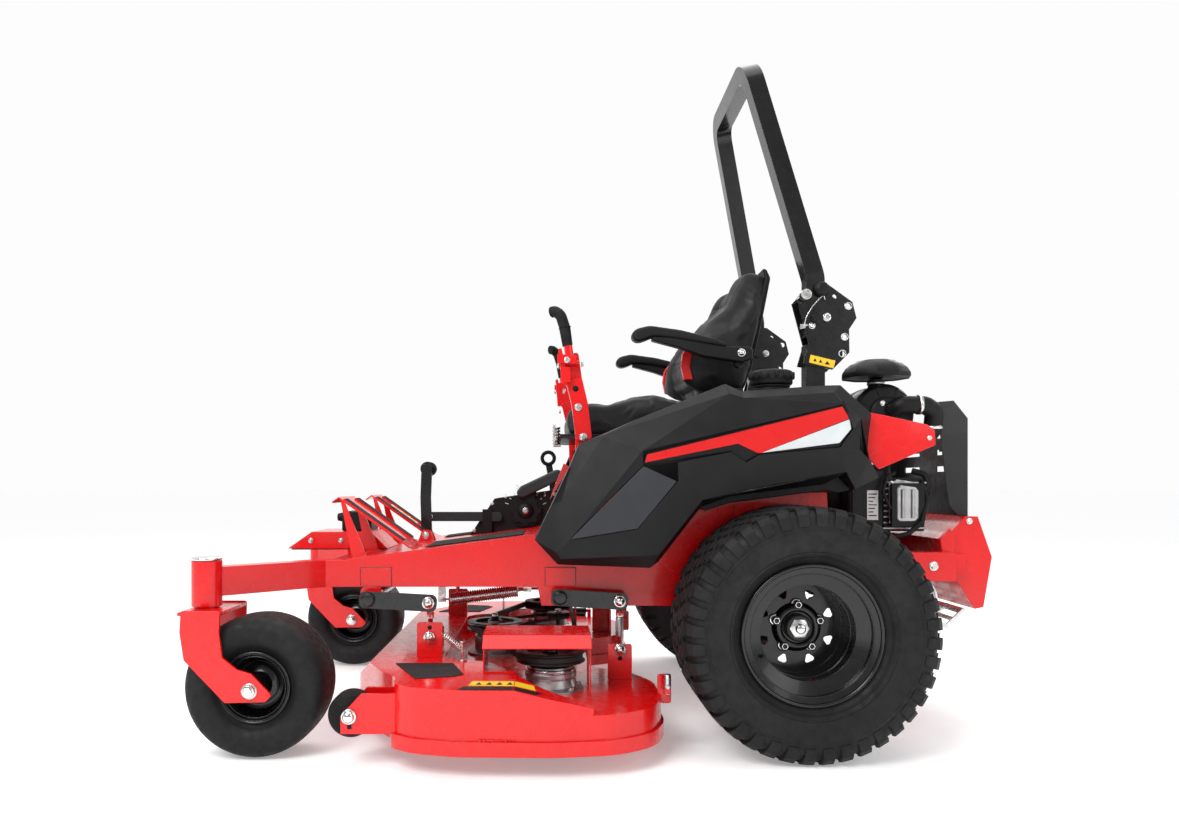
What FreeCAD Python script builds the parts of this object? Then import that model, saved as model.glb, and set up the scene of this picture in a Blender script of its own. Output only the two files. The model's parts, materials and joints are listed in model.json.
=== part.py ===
"""Zero turn mower, modelled as an assembly of separate sub-parts.

Machine frame used while modelling, in millimetres: x = 0 at the rear axle with the front of the
machine towards -X, y = 0 on the centreline with the operator's left at -Y, z = 0 on the ground.
Each sub-part's Placement then moves it into the part's own frame, whose origin is on the ground
under the middle of the overall length and width.
"""
import FreeCAD, Part
import math
import os
import re
from FreeCAD import Placement, Rotation, Vector

os.makedirs("parts", exist_ok=True)
doc = FreeCAD.newDocument("ZeroTurnMower")

# ---------------------------------------------------------------- driving dimensions

SIZES = [
    ("origin_x", 448.25, "rear axle behind the middle of the overall length"),
    ("origin_y", -105, "centreline left of the middle of the overall width"),
    ("tyre_radius", 305, "rear tyre outer radius"),
    ("tyre_width", 300, "rear tyre section width"),
    ("rear_half_track", 560, "centreline to middle of rear tyre"),
    ("deck_corner_radius", 200, "how far the deck's plan corners are rounded"),
    ("rear_flange_radius", 170, "rear rim flange radius"),
    ("hub_face", 534, "centreline to outer face of wheel disc"),
    ("caster_radius", 172, "caster tyre outer radius"),
    ("caster_width", 165, "caster tyre section width"),
    ("kingpin_x", -1467, "kingpin axis from the rear axle"),
    ("kingpin_y", 565, "kingpin axis from the centreline"),
    ("caster_trail", 137, "caster axle behind the kingpin"),
    ("kingpin_radius", 20, "kingpin tube bore"),
    ("running_gap", 0.05, "radial clearance of a shaft in its bore"),
    ("rail_inner", 313, "centreline to inner face of side rail"),
    ("rail_outer", 363, "centreline to outer face of side rail"),
    ("wall", 5, "tube wall"),
    ("arm_bottom", 385, "underside of the caster arm"),
    ("arm_height", 72, "height of the caster arm"),
    ("deck_bottom", 58, "lower lip of the cutter deck"),
    ("deck_top", 200, "raised front of the cutter deck"),
    ("deck_low", 142, "rear of the cutter deck"),
    ("deck_wall", 5, "deck plate thickness"),
    ("blade_radius", 258, "half of a blade"),
    ("side_spindle_x", -616, "outer spindles"),
    ("side_spindle_y", 500, "outer spindles from the centreline"),
    ("mid_spindle_x", -785, "middle spindle"),
    ("pulley_radius", 85, "deck pulleys"),
    ("belt_z", 214, "underside of the deck pulleys"),
    ("pto_x", 250, "engine crankshaft axis"),
    ("shaft_radius", 12.5, "spindle shaft and lift shaft radius"),
    ("lift_arm_y", 380, "inner face of the lift arms"),
    ("front_lift_x", -1100, "front lift shaft"),
    ("front_lift_z", 355, "front lift shaft"),
    ("rear_lift_x", -590, "rear lift shaft"),
    ("rear_lift_z", 361, "rear lift shaft"),
    ("lift_arm_reach", 159, "lift shaft to link pin"),
    ("rops_x", 118, "roll bar fold pivot"),
    ("rops_z", 1112, "roll bar fold pivot"),
    ("rops_bar", 50, "roll bar tube section"),
    ("fender_inner", 363, "inner face of the side covers"),
    ("fender_outer", 560, "outer face of the side covers"),
    ("seat_half_width", 240, "half of the seat width"),
    ("lever_y", 330, "control lever pivot from the centreline"),
]
dims = doc.addObject("Spreadsheet::Sheet", "Dims")
for row, (alias, value, note) in enumerate(SIZES, 1):
    dims.set(f"A{row}", note)
    dims.set(f"B{row}", str(value))
    dims.setAlias(f"B{row}", alias)
doc.recompute()
D = {alias: float(getattr(dims, alias)) for alias, _, _ in SIZES}
LEFT, RIGHT = -1, 1
SIDES = ((LEFT, "left"), (RIGHT, "right"))

# ---------------------------------------------------------------- building helpers


def formula(text):
    """An expression in which every dimension's name is read from the sheet."""
    return re.sub(r"[a-z_]+", lambda m: f"Dims.{m.group()}" if m.group() in D else m.group(), str(text))


def move(obj, at, rotation=None):
    """Places obj at three formulas, turned by a rotation."""
    if rotation:
        obj.Placement = Placement(Vector(), rotation)
    for axis, text in zip("xyz", at):
        obj.setExpression(f"Placement.Base.{axis}", formula(text))
    return obj


def along(axis):
    """The rotation that turns a cylinder's own Z onto axis X, Y or Z."""
    return {"X": Rotation(Vector(0, 1, 0), 90), "Y": Rotation(Vector(1, 0, 0), -90), "Z": Rotation()}[axis]


def box(name, size, at, rotation=None):
    """A box from its lowest corner."""
    obj = doc.addObject("Part::Box", name)
    for prop, text in zip(("Length", "Width", "Height"), size):
        obj.setExpression(prop, formula(text))
    return move(obj, at, rotation)


def rod(name, radius, length, at, axis="Z", rotation=None):
    """A cylinder that starts at a point and runs along an axis."""
    obj = doc.addObject("Part::Cylinder", name)
    obj.setExpression("Radius", formula(radius))
    obj.setExpression("Height", formula(length))
    return move(obj, at, rotation or along(axis))


def taper(name, radius_low, radius_high, height, at, axis="Z"):
    """A cone frustum that starts at a point and runs along an axis."""
    obj = doc.addObject("Part::Cone", name)
    obj.setExpression("Radius1", formula(radius_low))
    obj.setExpression("Radius2", formula(radius_high))
    obj.setExpression("Height", formula(height))
    return move(obj, at, along(axis))


def cut(name, base, *tools):
    """base with the tools taken away."""
    obj = doc.addObject("Part::Cut", name)
    obj.Base = base
    obj.Tool = tools[0] if len(tools) == 1 else fuse(name + "_tools", *tools)
    return obj


def fuse(name, *shapes):
    """One solid from several that touch or overlap."""
    obj = doc.addObject("Part::MultiFuse", name)
    obj.Shapes = list(shapes)
    obj.Refine = True
    return obj


def common(name, *shapes):
    """What several solids share."""
    obj = doc.addObject("Part::MultiCommon", name)
    obj.Shapes = list(shapes)
    return obj


def ring(name, outer, inner, length, at, axis="Z"):
    """A tube with a round bore."""
    body = rod(name + "_out", outer, length, at, axis)
    bore = rod(name + "_bore", inner, length, at, axis)
    return cut(name, body, bore)


def corner_edges(points, radius):
    """Edges of a closed outline whose corners are rounded as far as its sides allow."""
    flat = [Vector(p[0], p[1], 0) for p in points]
    count = len(flat)
    if not radius:
        return [Part.LineSegment(flat[i], flat[(i + 1) % count]) for i in range(count)]
    bends = []
    for i, here in enumerate(flat):
        before, after = flat[i - 1] - here, flat[(i + 1) % count] - here
        turn = math.pi - before.getAngle(after)
        reach = min(radius * math.tan(turn / 2), 0.4 * before.Length, 0.4 * after.Length)
        start = here + before.normalize() * reach
        end = here + after.normalize() * reach
        arc_radius = reach / math.tan(turn / 2)
        inward = (before + after).normalize()
        middle = here + inward * (math.hypot(reach, arc_radius) - arc_radius)
        bends.append((start, middle, end))
    edges = []
    for i, (start, middle, end) in enumerate(bends):
        edges.append(Part.Arc(start, middle, end))
        edges.append(Part.LineSegment(end, bends[(i + 1) % count][0]))
    return edges


def sketch_on(body, role, edges):
    """A sketch of these edges on one of the body's origin planes."""
    sketch = body.newObject("Sketcher::SketchObject", body.Name + "_sketch")
    plane = next(f for f in body.Origin.OriginFeatures if getattr(f, "Role", "") == role)
    sketch.AttachmentSupport = [(plane, "")]
    sketch.MapMode = "FlatFace"
    sketch.addGeometry(edges, False)
    return sketch


def prism(name, outline, thickness, at=(0, 0, 0), plane="XZ", radius=0, holes=(), rotation=None):
    """A padded outline. It runs from its place along +Y for XZ, +Z for XY and +X for YZ.

    holes are (x, y, radius) in the outline's own plane.
    """
    body = doc.addObject("PartDesign::Body", name)
    edges = corner_edges(outline, radius)
    edges += [Part.Circle(Vector(x, y, 0), Vector(0, 0, 1), r) for x, y, r in holes]
    sketch = sketch_on(body, plane + "_Plane", edges)
    pad = body.newObject("PartDesign::Pad", name + "_pad")
    pad.Profile = sketch
    pad.setExpression("Length", formula(thickness))
    pad.Reversed = plane == "XZ"
    sketch.Visibility = False
    return move(body, at, rotation)


def turned(name, profile, at=(0, 0, 0), axis="Y"):
    """A turned piece from (along the axis, radius) points."""
    body = doc.addObject("PartDesign::Body", name)
    if axis == "Y":
        sketch = sketch_on(body, "YZ_Plane", corner_edges(profile, 0))
        reference = "H_Axis"
    else:
        sketch = sketch_on(body, "XZ_Plane", corner_edges([(r, a) for a, r in profile], 0))
        reference = "V_Axis"
    spin = body.newObject("PartDesign::Revolution", name + "_turn")
    spin.Profile = sketch
    spin.ReferenceAxis = (sketch, [reference])
    spin.Angle = 360
    return move(body, at)


def strip(points, width):
    """The outline of a strap of constant width along a path."""
    flat = [Vector(p[0], p[1], 0) for p in points]
    left, right = [], []
    for i, here in enumerate(flat):
        into = (here - flat[i - 1]).normalize() if i else None
        out = (flat[i + 1] - here).normalize() if i + 1 < len(flat) else None
        mean = (into or out) + (out or into)
        side = Vector(-mean.y, mean.x, 0).normalize()
        ahead = out or into
        half = width / 2 / max(0.3, side.dot(Vector(-ahead.y, ahead.x, 0)))
        left.append(here + side * half)
        right.append(here - side * half)
    return [(p.x, p.y) for p in left + right[::-1]]


def inset(points, distance):
    """An outline moved inwards by a distance."""
    wire = Part.makePolygon([Vector(x, y, 0) for x, y in [*points, points[0]]])
    moved = wire.makeOffset2D(-distance, 2, False, False)
    return [(v.Point.x, v.Point.y) for v in moved.OrderedVertexes]


def hollow_prism(name, outline, thickness, at, wall, plane="XZ"):
    """A closed box section of this outline with a wall all round."""
    skin = prism(name + "_skin", outline, thickness, at, plane)
    shifts = {"XZ": (0, wall, 0), "XY": (0, 0, wall), "YZ": (wall, 0, 0)}[plane]
    inner_at = [f"{a} + {s}" for a, s in zip(at, shifts)]
    core = prism(name + "_core", inset(outline, wall), f"{thickness} - 2 * {wall}", inner_at, plane)
    return cut(name, skin, core)


def bent_path(points, radius):
    """A wire of straight runs joined by tangent arcs."""
    places = [Vector(*p) for p in points]
    edges, start = [], places[0]
    for i in range(1, len(places) - 1):
        here = places[i]
        before, after = places[i - 1] - here, places[i + 1] - here
        turn = math.pi - before.getAngle(after)
        reach = min(radius * math.tan(turn / 2), 0.45 * before.Length, 0.45 * after.Length)
        bend = reach / math.tan(turn / 2)
        a, b = here + before.normalize() * reach, here + after.normalize() * reach
        middle = here + (before + after).normalize() * (math.hypot(reach, bend) - bend)
        edges += [Part.LineSegment(start, a).toShape(), Part.Arc(a, middle, b).toShape()]
        start = b
    edges.append(Part.LineSegment(start, places[-1]).toShape())
    return Part.Wire(edges)


def swept(name, points, bend, radius=None, square=None, at=(0, 0, 0)):
    """A bent bar, round of this radius or square of this side, along a path."""
    path = bent_path(points, bend)
    start = Vector(*points[0])
    direction = (Vector(*points[1]) - start).normalize()
    if radius:
        section = Part.Wire(Part.Circle(start, direction, radius).toShape())
    else:
        side = Vector(0, 1, 0)
        up = direction.cross(side).normalize()
        half = square / 2
        signs = ((-1, -1), (1, -1), (1, 1), (-1, 1), (-1, -1))
        section = Part.makePolygon([start + side * half * a + up * half * b for a, b in signs])
    obj = doc.addObject("Part::Feature", name)
    obj.Shape = path.makePipeShell([section], True, False)
    return move(obj, at)


NODES = []


def node(label, *shapes):
    """A sub-part: its pieces joined in one object, moved from the machine frame into the part's frame."""
    if len(shapes) > 1:
        obj = fuse("node_" + label, *shapes)
    else:
        obj = doc.addObject("Part::Compound", "node_" + label)
        obj.Links = list(shapes)
    obj.Label = label
    move(obj, ("origin_x", "origin_y", 0))
    NODES.append(obj)
    return obj


def outward(side, inner, outer):
    """Where a slab starts along Y so that it lies between two distances from the centreline."""
    return inner if side == RIGHT else f"-({outer})"


def mirrored(points):
    """A closed plan outline from its left half, given from front to back."""
    return [*points, *((x, -y) for x, y in reversed(points) if y)]


# ---------------------------------------------------------------- main frame

RAIL = [(-1167, 385), (-650, 385), (-640, 334), (-250, 334), (-150, 400), (480, 400), (480, 478),
        (140, 478), (130, 640), (-380, 640), (-560, 545), (-661, 522), (-1167, 456)]
rail_width = "rail_outer - rail_inner"
frame_pieces = []
for side, hand in SIDES:
    rail_y = outward(side, "rail_inner", "rail_outer")
    rail = hollow_prism(f"rail_{hand}", RAIL, rail_width, (0, rail_y, 0), D["wall"])
    rear_bore = rod(f"rear_lift_bore_{hand}", "shaft_radius + running_gap", 60,
                    ("rear_lift_x", outward(side, 308, 368), "rear_lift_z"), "Y")
    arm_plan = strip([(-1167, side * 338), (-1232, side * 338), (-1450, side * 545)], 50)
    arm = hollow_prism(f"caster_arm_{hand}", arm_plan, "arm_height", (0, 0, "arm_bottom"), D["wall"], "XY")
    tube = rod(f"kingpin_tube_{hand}", 36.5, 111, ("kingpin_x", f"{side} * kingpin_y", 362))
    bore = rod(f"kingpin_bore_{hand}", "kingpin_radius", 131, ("kingpin_x", f"{side} * kingpin_y", 352))
    bracket_y = outward(side, 345, 363)
    lever_post = prism(f"lever_post_{hand}", [(-540, 555.6), (-480, 587.2), (-504, 806), (-548, 806)], 12,
                       (0, outward(side, 314, 326), 0), holes=[(-526, 790, 8.05)])
    hanger = prism(f"lift_bearing_{hand}", [(-1132, 385), (-1122, 338), (-1078, 338), (-1068, 385)], 18,
                   (0, bracket_y, 0), radius=14,
                   holes=[(D["front_lift_x"], D["front_lift_z"], D["shaft_radius"] + D["running_gap"])])
    frame_pieces.append(cut(f"side_frame_{hand}", fuse(f"side_weldment_{hand}", rail, arm, tube, hanger, lever_post),
                            bore, rear_bore))
CROSS_TUBES = [("front", -1222, 387, 50, 66), ("middle", -560, 470, 50, 60)]
for name, x, z, deep, high in CROSS_TUBES:
    outside = box(f"{name}_cross_out", (deep, "2 * rail_inner", high), (x, "-rail_inner", z))
    inside = box(f"{name}_cross_in", (f"{deep} - 2 * wall", "2 * rail_inner", f"{high} - 2 * wall"),
                 (f"{x} + wall", "-rail_inner", f"{z} + wall"))
    frame_pieces.append(cut(f"{name}_cross", outside, inside))
node("main_frame", *frame_pieces)

FLOOR = [(-1167, 456), (-661, 522), (-560, 545), (-560, 549), (-662, 526), (-1167, 460)]
floor = prism("floor_sheet", FLOOR, "2 * rail_outer", (0, "-rail_outer", 0))
ramp_line = strip([(-985, 481.7), (-1006, 490), (-1197, 625), (-1215, 612)], 4)
ramp_left = prism("left_ramp", ramp_line, 200, (0, -320, 0))
ramp_right = prism("right_ramp", ramp_line, 170, (0, 150, 0))
grips = [prism(f"grip_{n}", strip([(-1020, 503.5), (-1185, 620.5)], 5), 40, (0, y, 0))
         for n, y in enumerate((-318, -162, 152, 278))]
ramp_legs = [prism(f"ramp_leg_{n}", [(-1160, 458.5), (-1120, 463.7), (-1180, 610), (-1192, 618)], 6, (0, y, 0))
             for n, y in enumerate((-320, -126, 150, 314))]
pedal_tabs = [prism(f"pedal_tab_{n}", [(-1035, 472), (-979, 480), (-994, 518), (-1020, 518)], 6, (0, y, 0),
                    radius=8, holes=[(-1007, 500, 8.05)]) for n, y in enumerate((60, 104))]
node("footplate", floor, ramp_left, ramp_right, *ramp_legs, *pedal_tabs, *grips)

FRONT_COVER = [(-1399, 470), (-1328, 520), (-1151, 520), (-1101, 470)]
cover_box = hollow_prism("front_cover_box", FRONT_COVER, 200, (0, -100, 0), 4)
cover_base = box("front_cover_base", (50, 180, 17), (-1222, -90, 453))
cover_case = box("front_cover_case", (84, 110, 57), (-1243, -55, 520))
node("front_cover", cover_box, cover_base, cover_case)

plate = box("engine_plate_sheet", (600, "2 * rail_inner", 8), (-120, "-rail_inner", 400))
rim_cut = box("engine_plate_notch", (60, 400, 20), (400, -200, 395))
crank_hole = rod("crank_hole", 45, 20, ("pto_x", 0, 395))
node("engine_plate", cut("engine_plate_cut", plate, rim_cut, crank_hole))

# ---------------------------------------------------------------- casters


def tyre_profile(half, bead, outer, side_face, points):
    """A tyre's section from (share of half width, radius) points of its outside."""
    outside = [(share * half, radius) for share, radius in points]
    return [(-side_face, bead), *[(-a, r) for a, r in outside], *reversed(outside), (side_face, bead)]


FORK = [(-1492, 362), (-1495, 311), (-1485, 245), (-1388, 144), (-1292, 146), (-1277, 162), (-1326, 213),
        (-1360, 223), (-1394, 251), (-1402, 308), (-1400, 362)]
CASTER_TREAD = [(0.66, 90), (0.92, 108), (1, 132), (0.97, 152), (0.80, 167), (0.40, 172)]
CASTER_RIM = [(-62, 86), (-56, 86), (-56, 76.2), (56, 76.2), (56, 86), (62, 86), (62, 80), (50, 70), (18, 62),
              (18, 30), (88, 24), (88, 10), (-88, 10), (-88, 24), (-18, 30), (-18, 62), (-50, 70), (-62, 80)]
for side, hand in SIDES:
    y = f"{side} * kingpin_y"
    axle_x = "kingpin_x + caster_trail"
    legs = [prism(f"{hand}_fork_leg_{n}", FORK, 8, (0, f"{y} + {offset}", 0), radius=6)
            for n, offset in enumerate((-100, 92))]
    crown = box(f"{hand}_fork_crown", (100, 200, 8), (-1500, f"{y} - 100", 350))
    collar = rod(f"{hand}_fork_collar", 30, 3, ("kingpin_x", y, 358))
    kingpin = rod(f"{hand}_kingpin", "kingpin_radius - running_gap", 118, ("kingpin_x", y, 358))
    cap = taper(f"{hand}_kingpin_cap", 34, 29, 8, ("kingpin_x", y, 474))
    axle = rod(f"{hand}_caster_axle", "10 - running_gap", 184, (axle_x, f"{y} - 92", "caster_radius"), "Y")
    nuts = [rod(f"{hand}_caster_nut_{n}", 15, 9, (axle_x, f"{y} + {offset}", "caster_radius"), "Y")
            for n, offset in enumerate((-109, 100))]
    node(f"{hand}_caster_fork", *legs, crown, collar, kingpin, cap, axle, *nuts)
    profile = tyre_profile(D["caster_width"] / 2, 76.2, D["caster_radius"], 55, CASTER_TREAD)
    node(f"{hand}_caster_tyre", turned(f"{hand}_caster_rubber", profile, (axle_x, y, "caster_radius")))
    node(f"{hand}_caster_rim", turned(f"{hand}_caster_wheel", CASTER_RIM, (axle_x, y, "caster_radius")))

# ---------------------------------------------------------------- rear wheels

TREAD = [(0.72, 172), (0.84, 186), (0.97, 220), (1, 250), (0.97, 280), (0.86, 299), (0.40, 305)]
CAVITY = [(-92, 175), (-112, 190), (-131, 222), (-136, 250), (-130, 275), (-116, 286), (-60, 291), (60, 291),
          (116, 286), (130, 275), (136, 250), (131, 222), (112, 190), (92, 175)]
BARREL = [(-118, 170), (-112, 170), (-108, 152.4), (-86, 152.4), (-74, 120), (74, 120), (86, 152.4),
          (108, 152.4), (112, 170), (118, 170), (117, 165), (112, 147.4), (90, 147.4), (78, 115), (-78, 115),
          (-90, 147.4), (-112, 147.4), (-117, 165)]
for side, hand in SIDES:
    y = f"{side} * rear_half_track"
    tyre = tyre_profile(D["tyre_width"] / 2, 152.4, D["tyre_radius"], 108, TREAD)
    section = [*tyre, (90, 152.4), *reversed(CAVITY), (-90, 152.4)]
    node(f"{hand}_rear_tyre", turned(f"{hand}_rear_rubber", section, (0, y, "tyre_radius")))
    barrel = turned(f"{hand}_rear_barrel", BARREL, (0, y, "tyre_radius"))
    disc_y = f"{side} * (hub_face - 3) - 3"
    disc = rod(f"{hand}_rear_disc", 116, 6, (0, disc_y, "tyre_radius"), "Y")
    windows = []
    for n in range(8):
        turn = math.radians(45 * n + 22.5)
        corners = [(96, -17), (96, 17), (70, 0)]
        window = [(a * math.cos(turn) - b * math.sin(turn), a * math.sin(turn) + b * math.cos(turn))
                  for a, b in corners]
        windows.append(prism(f"{hand}_window_{n}", window, 20, (0, f"{disc_y} - 7", "tyre_radius"), radius=6))
    hub = rod(f"{hand}_rear_hub", 50, 36, (0, outward(side, "hub_face - 24", "hub_face + 12"), "tyre_radius"),
              "Y")
    bore = rod(f"{hand}_hub_bore", "20 + running_gap", 60, (0, outward(side, 500, 560), "tyre_radius"), "Y")
    disc = cut(f"{hand}_wheel_centre", fuse(f"{hand}_wheel_solid", disc, hub), *windows, bore)
    nuts = []
    for n in range(5):
        turn = math.radians(72 * n + 90)
        spot = (f"{57.15 * math.cos(turn):.3f}", outward(side, "hub_face - 3", "hub_face + 18"),
                f"tyre_radius + {57.15 * math.sin(turn):.3f}")
        nuts.append(rod(f"{hand}_lug_{n}", 10.5, 21, spot, "Y"))
    node(f"{hand}_rear_rim", barrel, disc, *nuts)

drive_pieces = []
for side, hand in SIDES:
    pump = box(f"{hand}_drive_case", (170, 120, 150), (-85, outward(side, 180, 300), 230))
    gear = rod(f"{hand}_drive_housing", 62, 100, (0, outward(side, 300, 400), "tyre_radius"), "Y")
    shoulder = rod(f"{hand}_axle_shoulder", 34, 108, (0, outward(side, 400, 508), "tyre_radius"), "Y")
    shaft = rod(f"{hand}_axle_shaft", "20 - running_gap", 60, (0, outward(side, 500, 560), "tyre_radius"), "Y")
    nut = rod(f"{hand}_axle_nut", 27, 14, (0, outward(side, 548, 562), "tyre_radius"), "Y")
    ear = box(f"{hand}_drive_ear", (80, 14, 30), (-40, outward(side, 299, 313), 370))
    drive_pieces.append(fuse(f"{hand}_drive", pump, gear, shoulder, shaft, nut, ear))
axle_tie = box("axle_tie", (40, 360, 60), (30, -180, 300))
node("hydro_drives", *drive_pieces, axle_tie)

# ---------------------------------------------------------------- cutter deck

DECK_HALF = [(-1140, -330), (-1040, -560), (-985, -640), (-985, -706), (-930, -750), (-830, -778),
             (-616, -785), (-470, -765), (-380, -700), (-345, -600), (-345, -420), (-400, -290), (-505, -230)]
RAISED_HALF = [(-1140, -330), (-1040, -560), (-985, -640), (-985, -706), (-930, -750), (-830, -778),
               (-616, -785), (-470, -765), (-640, -700), (-730, -560), (-770, -450), (-900, -400)]
deck_outline = mirrored(DECK_HALF)
raised_outline = mirrored(RAISED_HALF)
RAISED_SIDE = [(-1140, 140), (-1085, 200), (-700, 200), (-455, 142), (-455, 130), (-1140, 130)]
wall, bend = D["deck_wall"], D["deck_corner_radius"]
shell = prism("deck_skin", deck_outline, "deck_low - deck_bottom", (0, 0, "deck_bottom"), "XY", bend)
band_out = prism("deck_band_out", inset(deck_outline, -7), 34, (0, 0, "deck_bottom - 6"), "XY", bend + 7)
band_in = prism("deck_band_in", deck_outline, 34, (0, 0, "deck_bottom - 6"), "XY", bend)
raised = common("raised_deck", prism("raised_plan", raised_outline, 80, (0, 0, 130), "XY", bend),
                prism("raised_side", RAISED_SIDE, 1600, (0, -800, 0)))
core = prism("deck_core", inset(deck_outline, wall), 90, (0, 0, "deck_low - deck_wall - 90"), "XY", bend - wall)
raised_plan = prism("raised_core_plan", inset(raised_outline, wall), 80, (0, 0, 130), "XY", bend - wall)
raised_core = common("raised_core", raised_plan,
                     prism("raised_core_side", [(x + 4, z - wall) for x, z in RAISED_SIDE], 1600, (0, -800, 0)))
shaft_holes, chute_gap = [], box("chute_gap", (360, 60, 62), (-820, 750, 70))
SPINDLES = [("left", "side_spindle_x", "-side_spindle_y"), ("centre", "mid_spindle_x", "0"),
            ("right", "side_spindle_x", "side_spindle_y")]
for name, x, y in SPINDLES:
    shaft_holes.append(rod(f"{name}_shaft_hole", 44.5, 30, (x, y, 125)))
roller_brackets = []
ROLLER_TAB = [(-1105, 82), (-1105, 124), (-1057, 176), (-974, 176), (-974, 82)]
for side, hand in SIDES:
    for n, (inner, outer) in enumerate(((630, 636), (700, 706))):
        roller_brackets.append(prism(f"{hand}_roller_tab_{n}", ROLLER_TAB, 6, (0, outward(side, inner, outer), 0)))
    roller_brackets.append(rod(f"{hand}_roller_bolt", 8, 78, (-1085, outward(side, 630, 708), 123), "Y"))
    roller_brackets.append(rod(f"{hand}_roller_head", 12, 7, (-1085, outward(side, 706, 713), 123), "Y"))
hinge_rod = rod("chute_hinge_rod", 6, 380, (-830, 796, 160), "X")
hinge_ears = [box("chute_front_ear", (12, 32, 24), (-830, 770, 148)),
              box("chute_rear_ear", (12, 60, 34), (-462, 742, 138))]
idler_post = rod("idler_post", 16, 44, (-680, 240, "deck_low"))
idler_shaft = rod("idler_shaft", 8, 66, (-680, 240, "deck_low"))
deck_solid = fuse("deck_solid", shell, raised)
deck_hollow = cut("deck_hollow", deck_solid, core, raised_core, *shaft_holes, chute_gap)
band = cut("deck_band", band_out, band_in, box("band_gap", (360, 90, 46), (-820, 740, 45)))
node("deck_shell", deck_hollow, band, *roller_brackets, hinge_rod, *hinge_ears, idler_post, idler_shaft)

covers = []
for side, hand in SIDES:
    top = box(f"{hand}_cover_top", (265, 150, 3), (-782, outward(side, 440, 590), 290))
    slope_line = strip([(side * 588, 291.5), (side * 622, 264)], 3)
    slope = prism(f"{hand}_cover_slope", slope_line, 265, (-782, 0, 0), "YZ")
    front = box(f"{hand}_cover_front", (3, 150, 93), (-782, outward(side, 440, 590), "deck_top"))
    foot = box(f"{hand}_cover_foot", (84, 60, 3), (-782, outward(side, 530, 590), "deck_top"))
    leg = box(f"{hand}_cover_leg", (4, 4, 151), (-521, outward(side, 586, 590), "deck_low"))
    stay = box(f"{hand}_cover_stay", (4, 40, 151), (-521, outward(side, 440, 480), "deck_low"))
    covers += [top, slope, front, foot, leg, stay]
node("belt_covers", *covers)

hangers = []
LINKS = [("front", -937, 256, 346, 34), ("rear", -431, 224, 351, 32)]
for side, hand in SIDES:
    for name, x, bolt_z, pin_z, half in LINKS:
        base = "deck_top" if name == "front" else "deck_low"
        outline = [(x - half, 0), (x - half, 94), (x + half, 94), (x + half, 0)]
        tab_y = outward(side, 390, 398)
        tab = prism(f"{hand}_{name}_tab", outline, 8, (0, tab_y, base), radius=5)
        fold = box(f"{hand}_{name}_fold", (8, 40, 80), (x + half - 8, outward(side, 358, 398), base))
        bolt = rod(f"{hand}_{name}_bolt", 8, 40, (x, outward(side, 370, 410), bolt_z), "Y")
        head = rod(f"{hand}_{name}_head", 13, 8, (x, outward(side, 398, 406), bolt_z), "Y")
        link = rod(f"{hand}_{name}_link", 5.5, pin_z - bolt_z, (x, f"{side} * 382", bolt_z))
        eyes = [rod(f"{hand}_{name}_eye_{n}", 13, 14, (x, outward(side, 375, 389), z), "Y")
                for n, z in enumerate((bolt_z, pin_z))]
        nut = rod(f"{hand}_{name}_nut", 10, 14, (x, f"{side} * 382", pin_z - 40))
        hangers += [tab, fold, bolt, head, link, nut, *eyes]
    tail = prism(f"{hand}_tail_tab", [(-352, 142), (-352, 192), (-318, 192), (-318, 120), (-344, 120), (-344, 142)], 6,
                 (0, outward(side, 560, 566), 0), radius=6)
    tail_pin = rod(f"{hand}_tail_pin", 8, 60, (-332, outward(side, 548, 608), 160), "Y")
    hangers += [tail, tail_pin]
node("deck_hangers", *hangers)

housings = []
HOUSING = [(12.55, 120), (44, 120), (44, 142), (84, 142), (84, 148), (62, 154), (62, 196), (50, 206), (12.55, 206)]
for name, x, y in SPINDLES:
    profile = [(z - D["deck_low"], r) for r, z in HOUSING]
    housing = turned(f"{name}_housing", profile, (x, y, "deck_low"), "Z")
    housings.append(housing)
node("spindle_housings", *housings)

for name, x, y in SPINDLES:
    shaft = rod(f"{name}_shaft", "shaft_radius", 166, (x, y, 88))
    hub = rod(f"{name}_blade_hub", 24, 26, (x, y, 92))
    bolt = rod(f"{name}_blade_bolt", 17, 10, (x, y, 76))
    blade = box(f"{name}_blade_bar", (64, "2 * blade_radius - 70", 6), (f"{x} - 32", f"{y} - blade_radius + 35", 86))
    lifts = [box(f"{name}_blade_tip_{n}", (64, 36, 6), (f"{x} - 32", f"{y} + {s}", 86))
             for n, s in enumerate(("blade_radius - 36", "-(blade_radius)"))]
    wings = [prism(f"{name}_blade_wing_{n}", [(0, 0), (20, 0), (34, 22), (28, 24)], 90, (f"{x} + {a}", f"{y} + {b}", 90),
                   rotation=Rotation(Vector(0, 0, 1), turn))
             for n, (a, b, turn) in enumerate(((12, "blade_radius - 140", 0), (-12, "-blade_radius + 140", 180)))]
    rims = [rod(f"{name}_pulley_rim_{n}", "pulley_radius", 4, (x, y, f"belt_z + {z}")) for n, z in enumerate((0, 22))]
    drum = rod(f"{name}_pulley_drum", "pulley_radius - 15", 26, (x, y, "belt_z"))
    dish = rod(f"{name}_pulley_dish", "pulley_radius - 24", 14, (x, y, "belt_z + 14"))
    pulley = cut(f"{name}_pulley", fuse(f"{name}_pulley_solid", *rims, drum), dish)
    nut = rod(f"{name}_pulley_nut", 19, 16, (x, y, "belt_z + 14"))
    node(f"{name}_blade", shaft, hub, bolt, blade, *lifts, *wings, pulley, nut)

# ---------------------------------------------------------------- deck drive, chute and rollers


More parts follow.
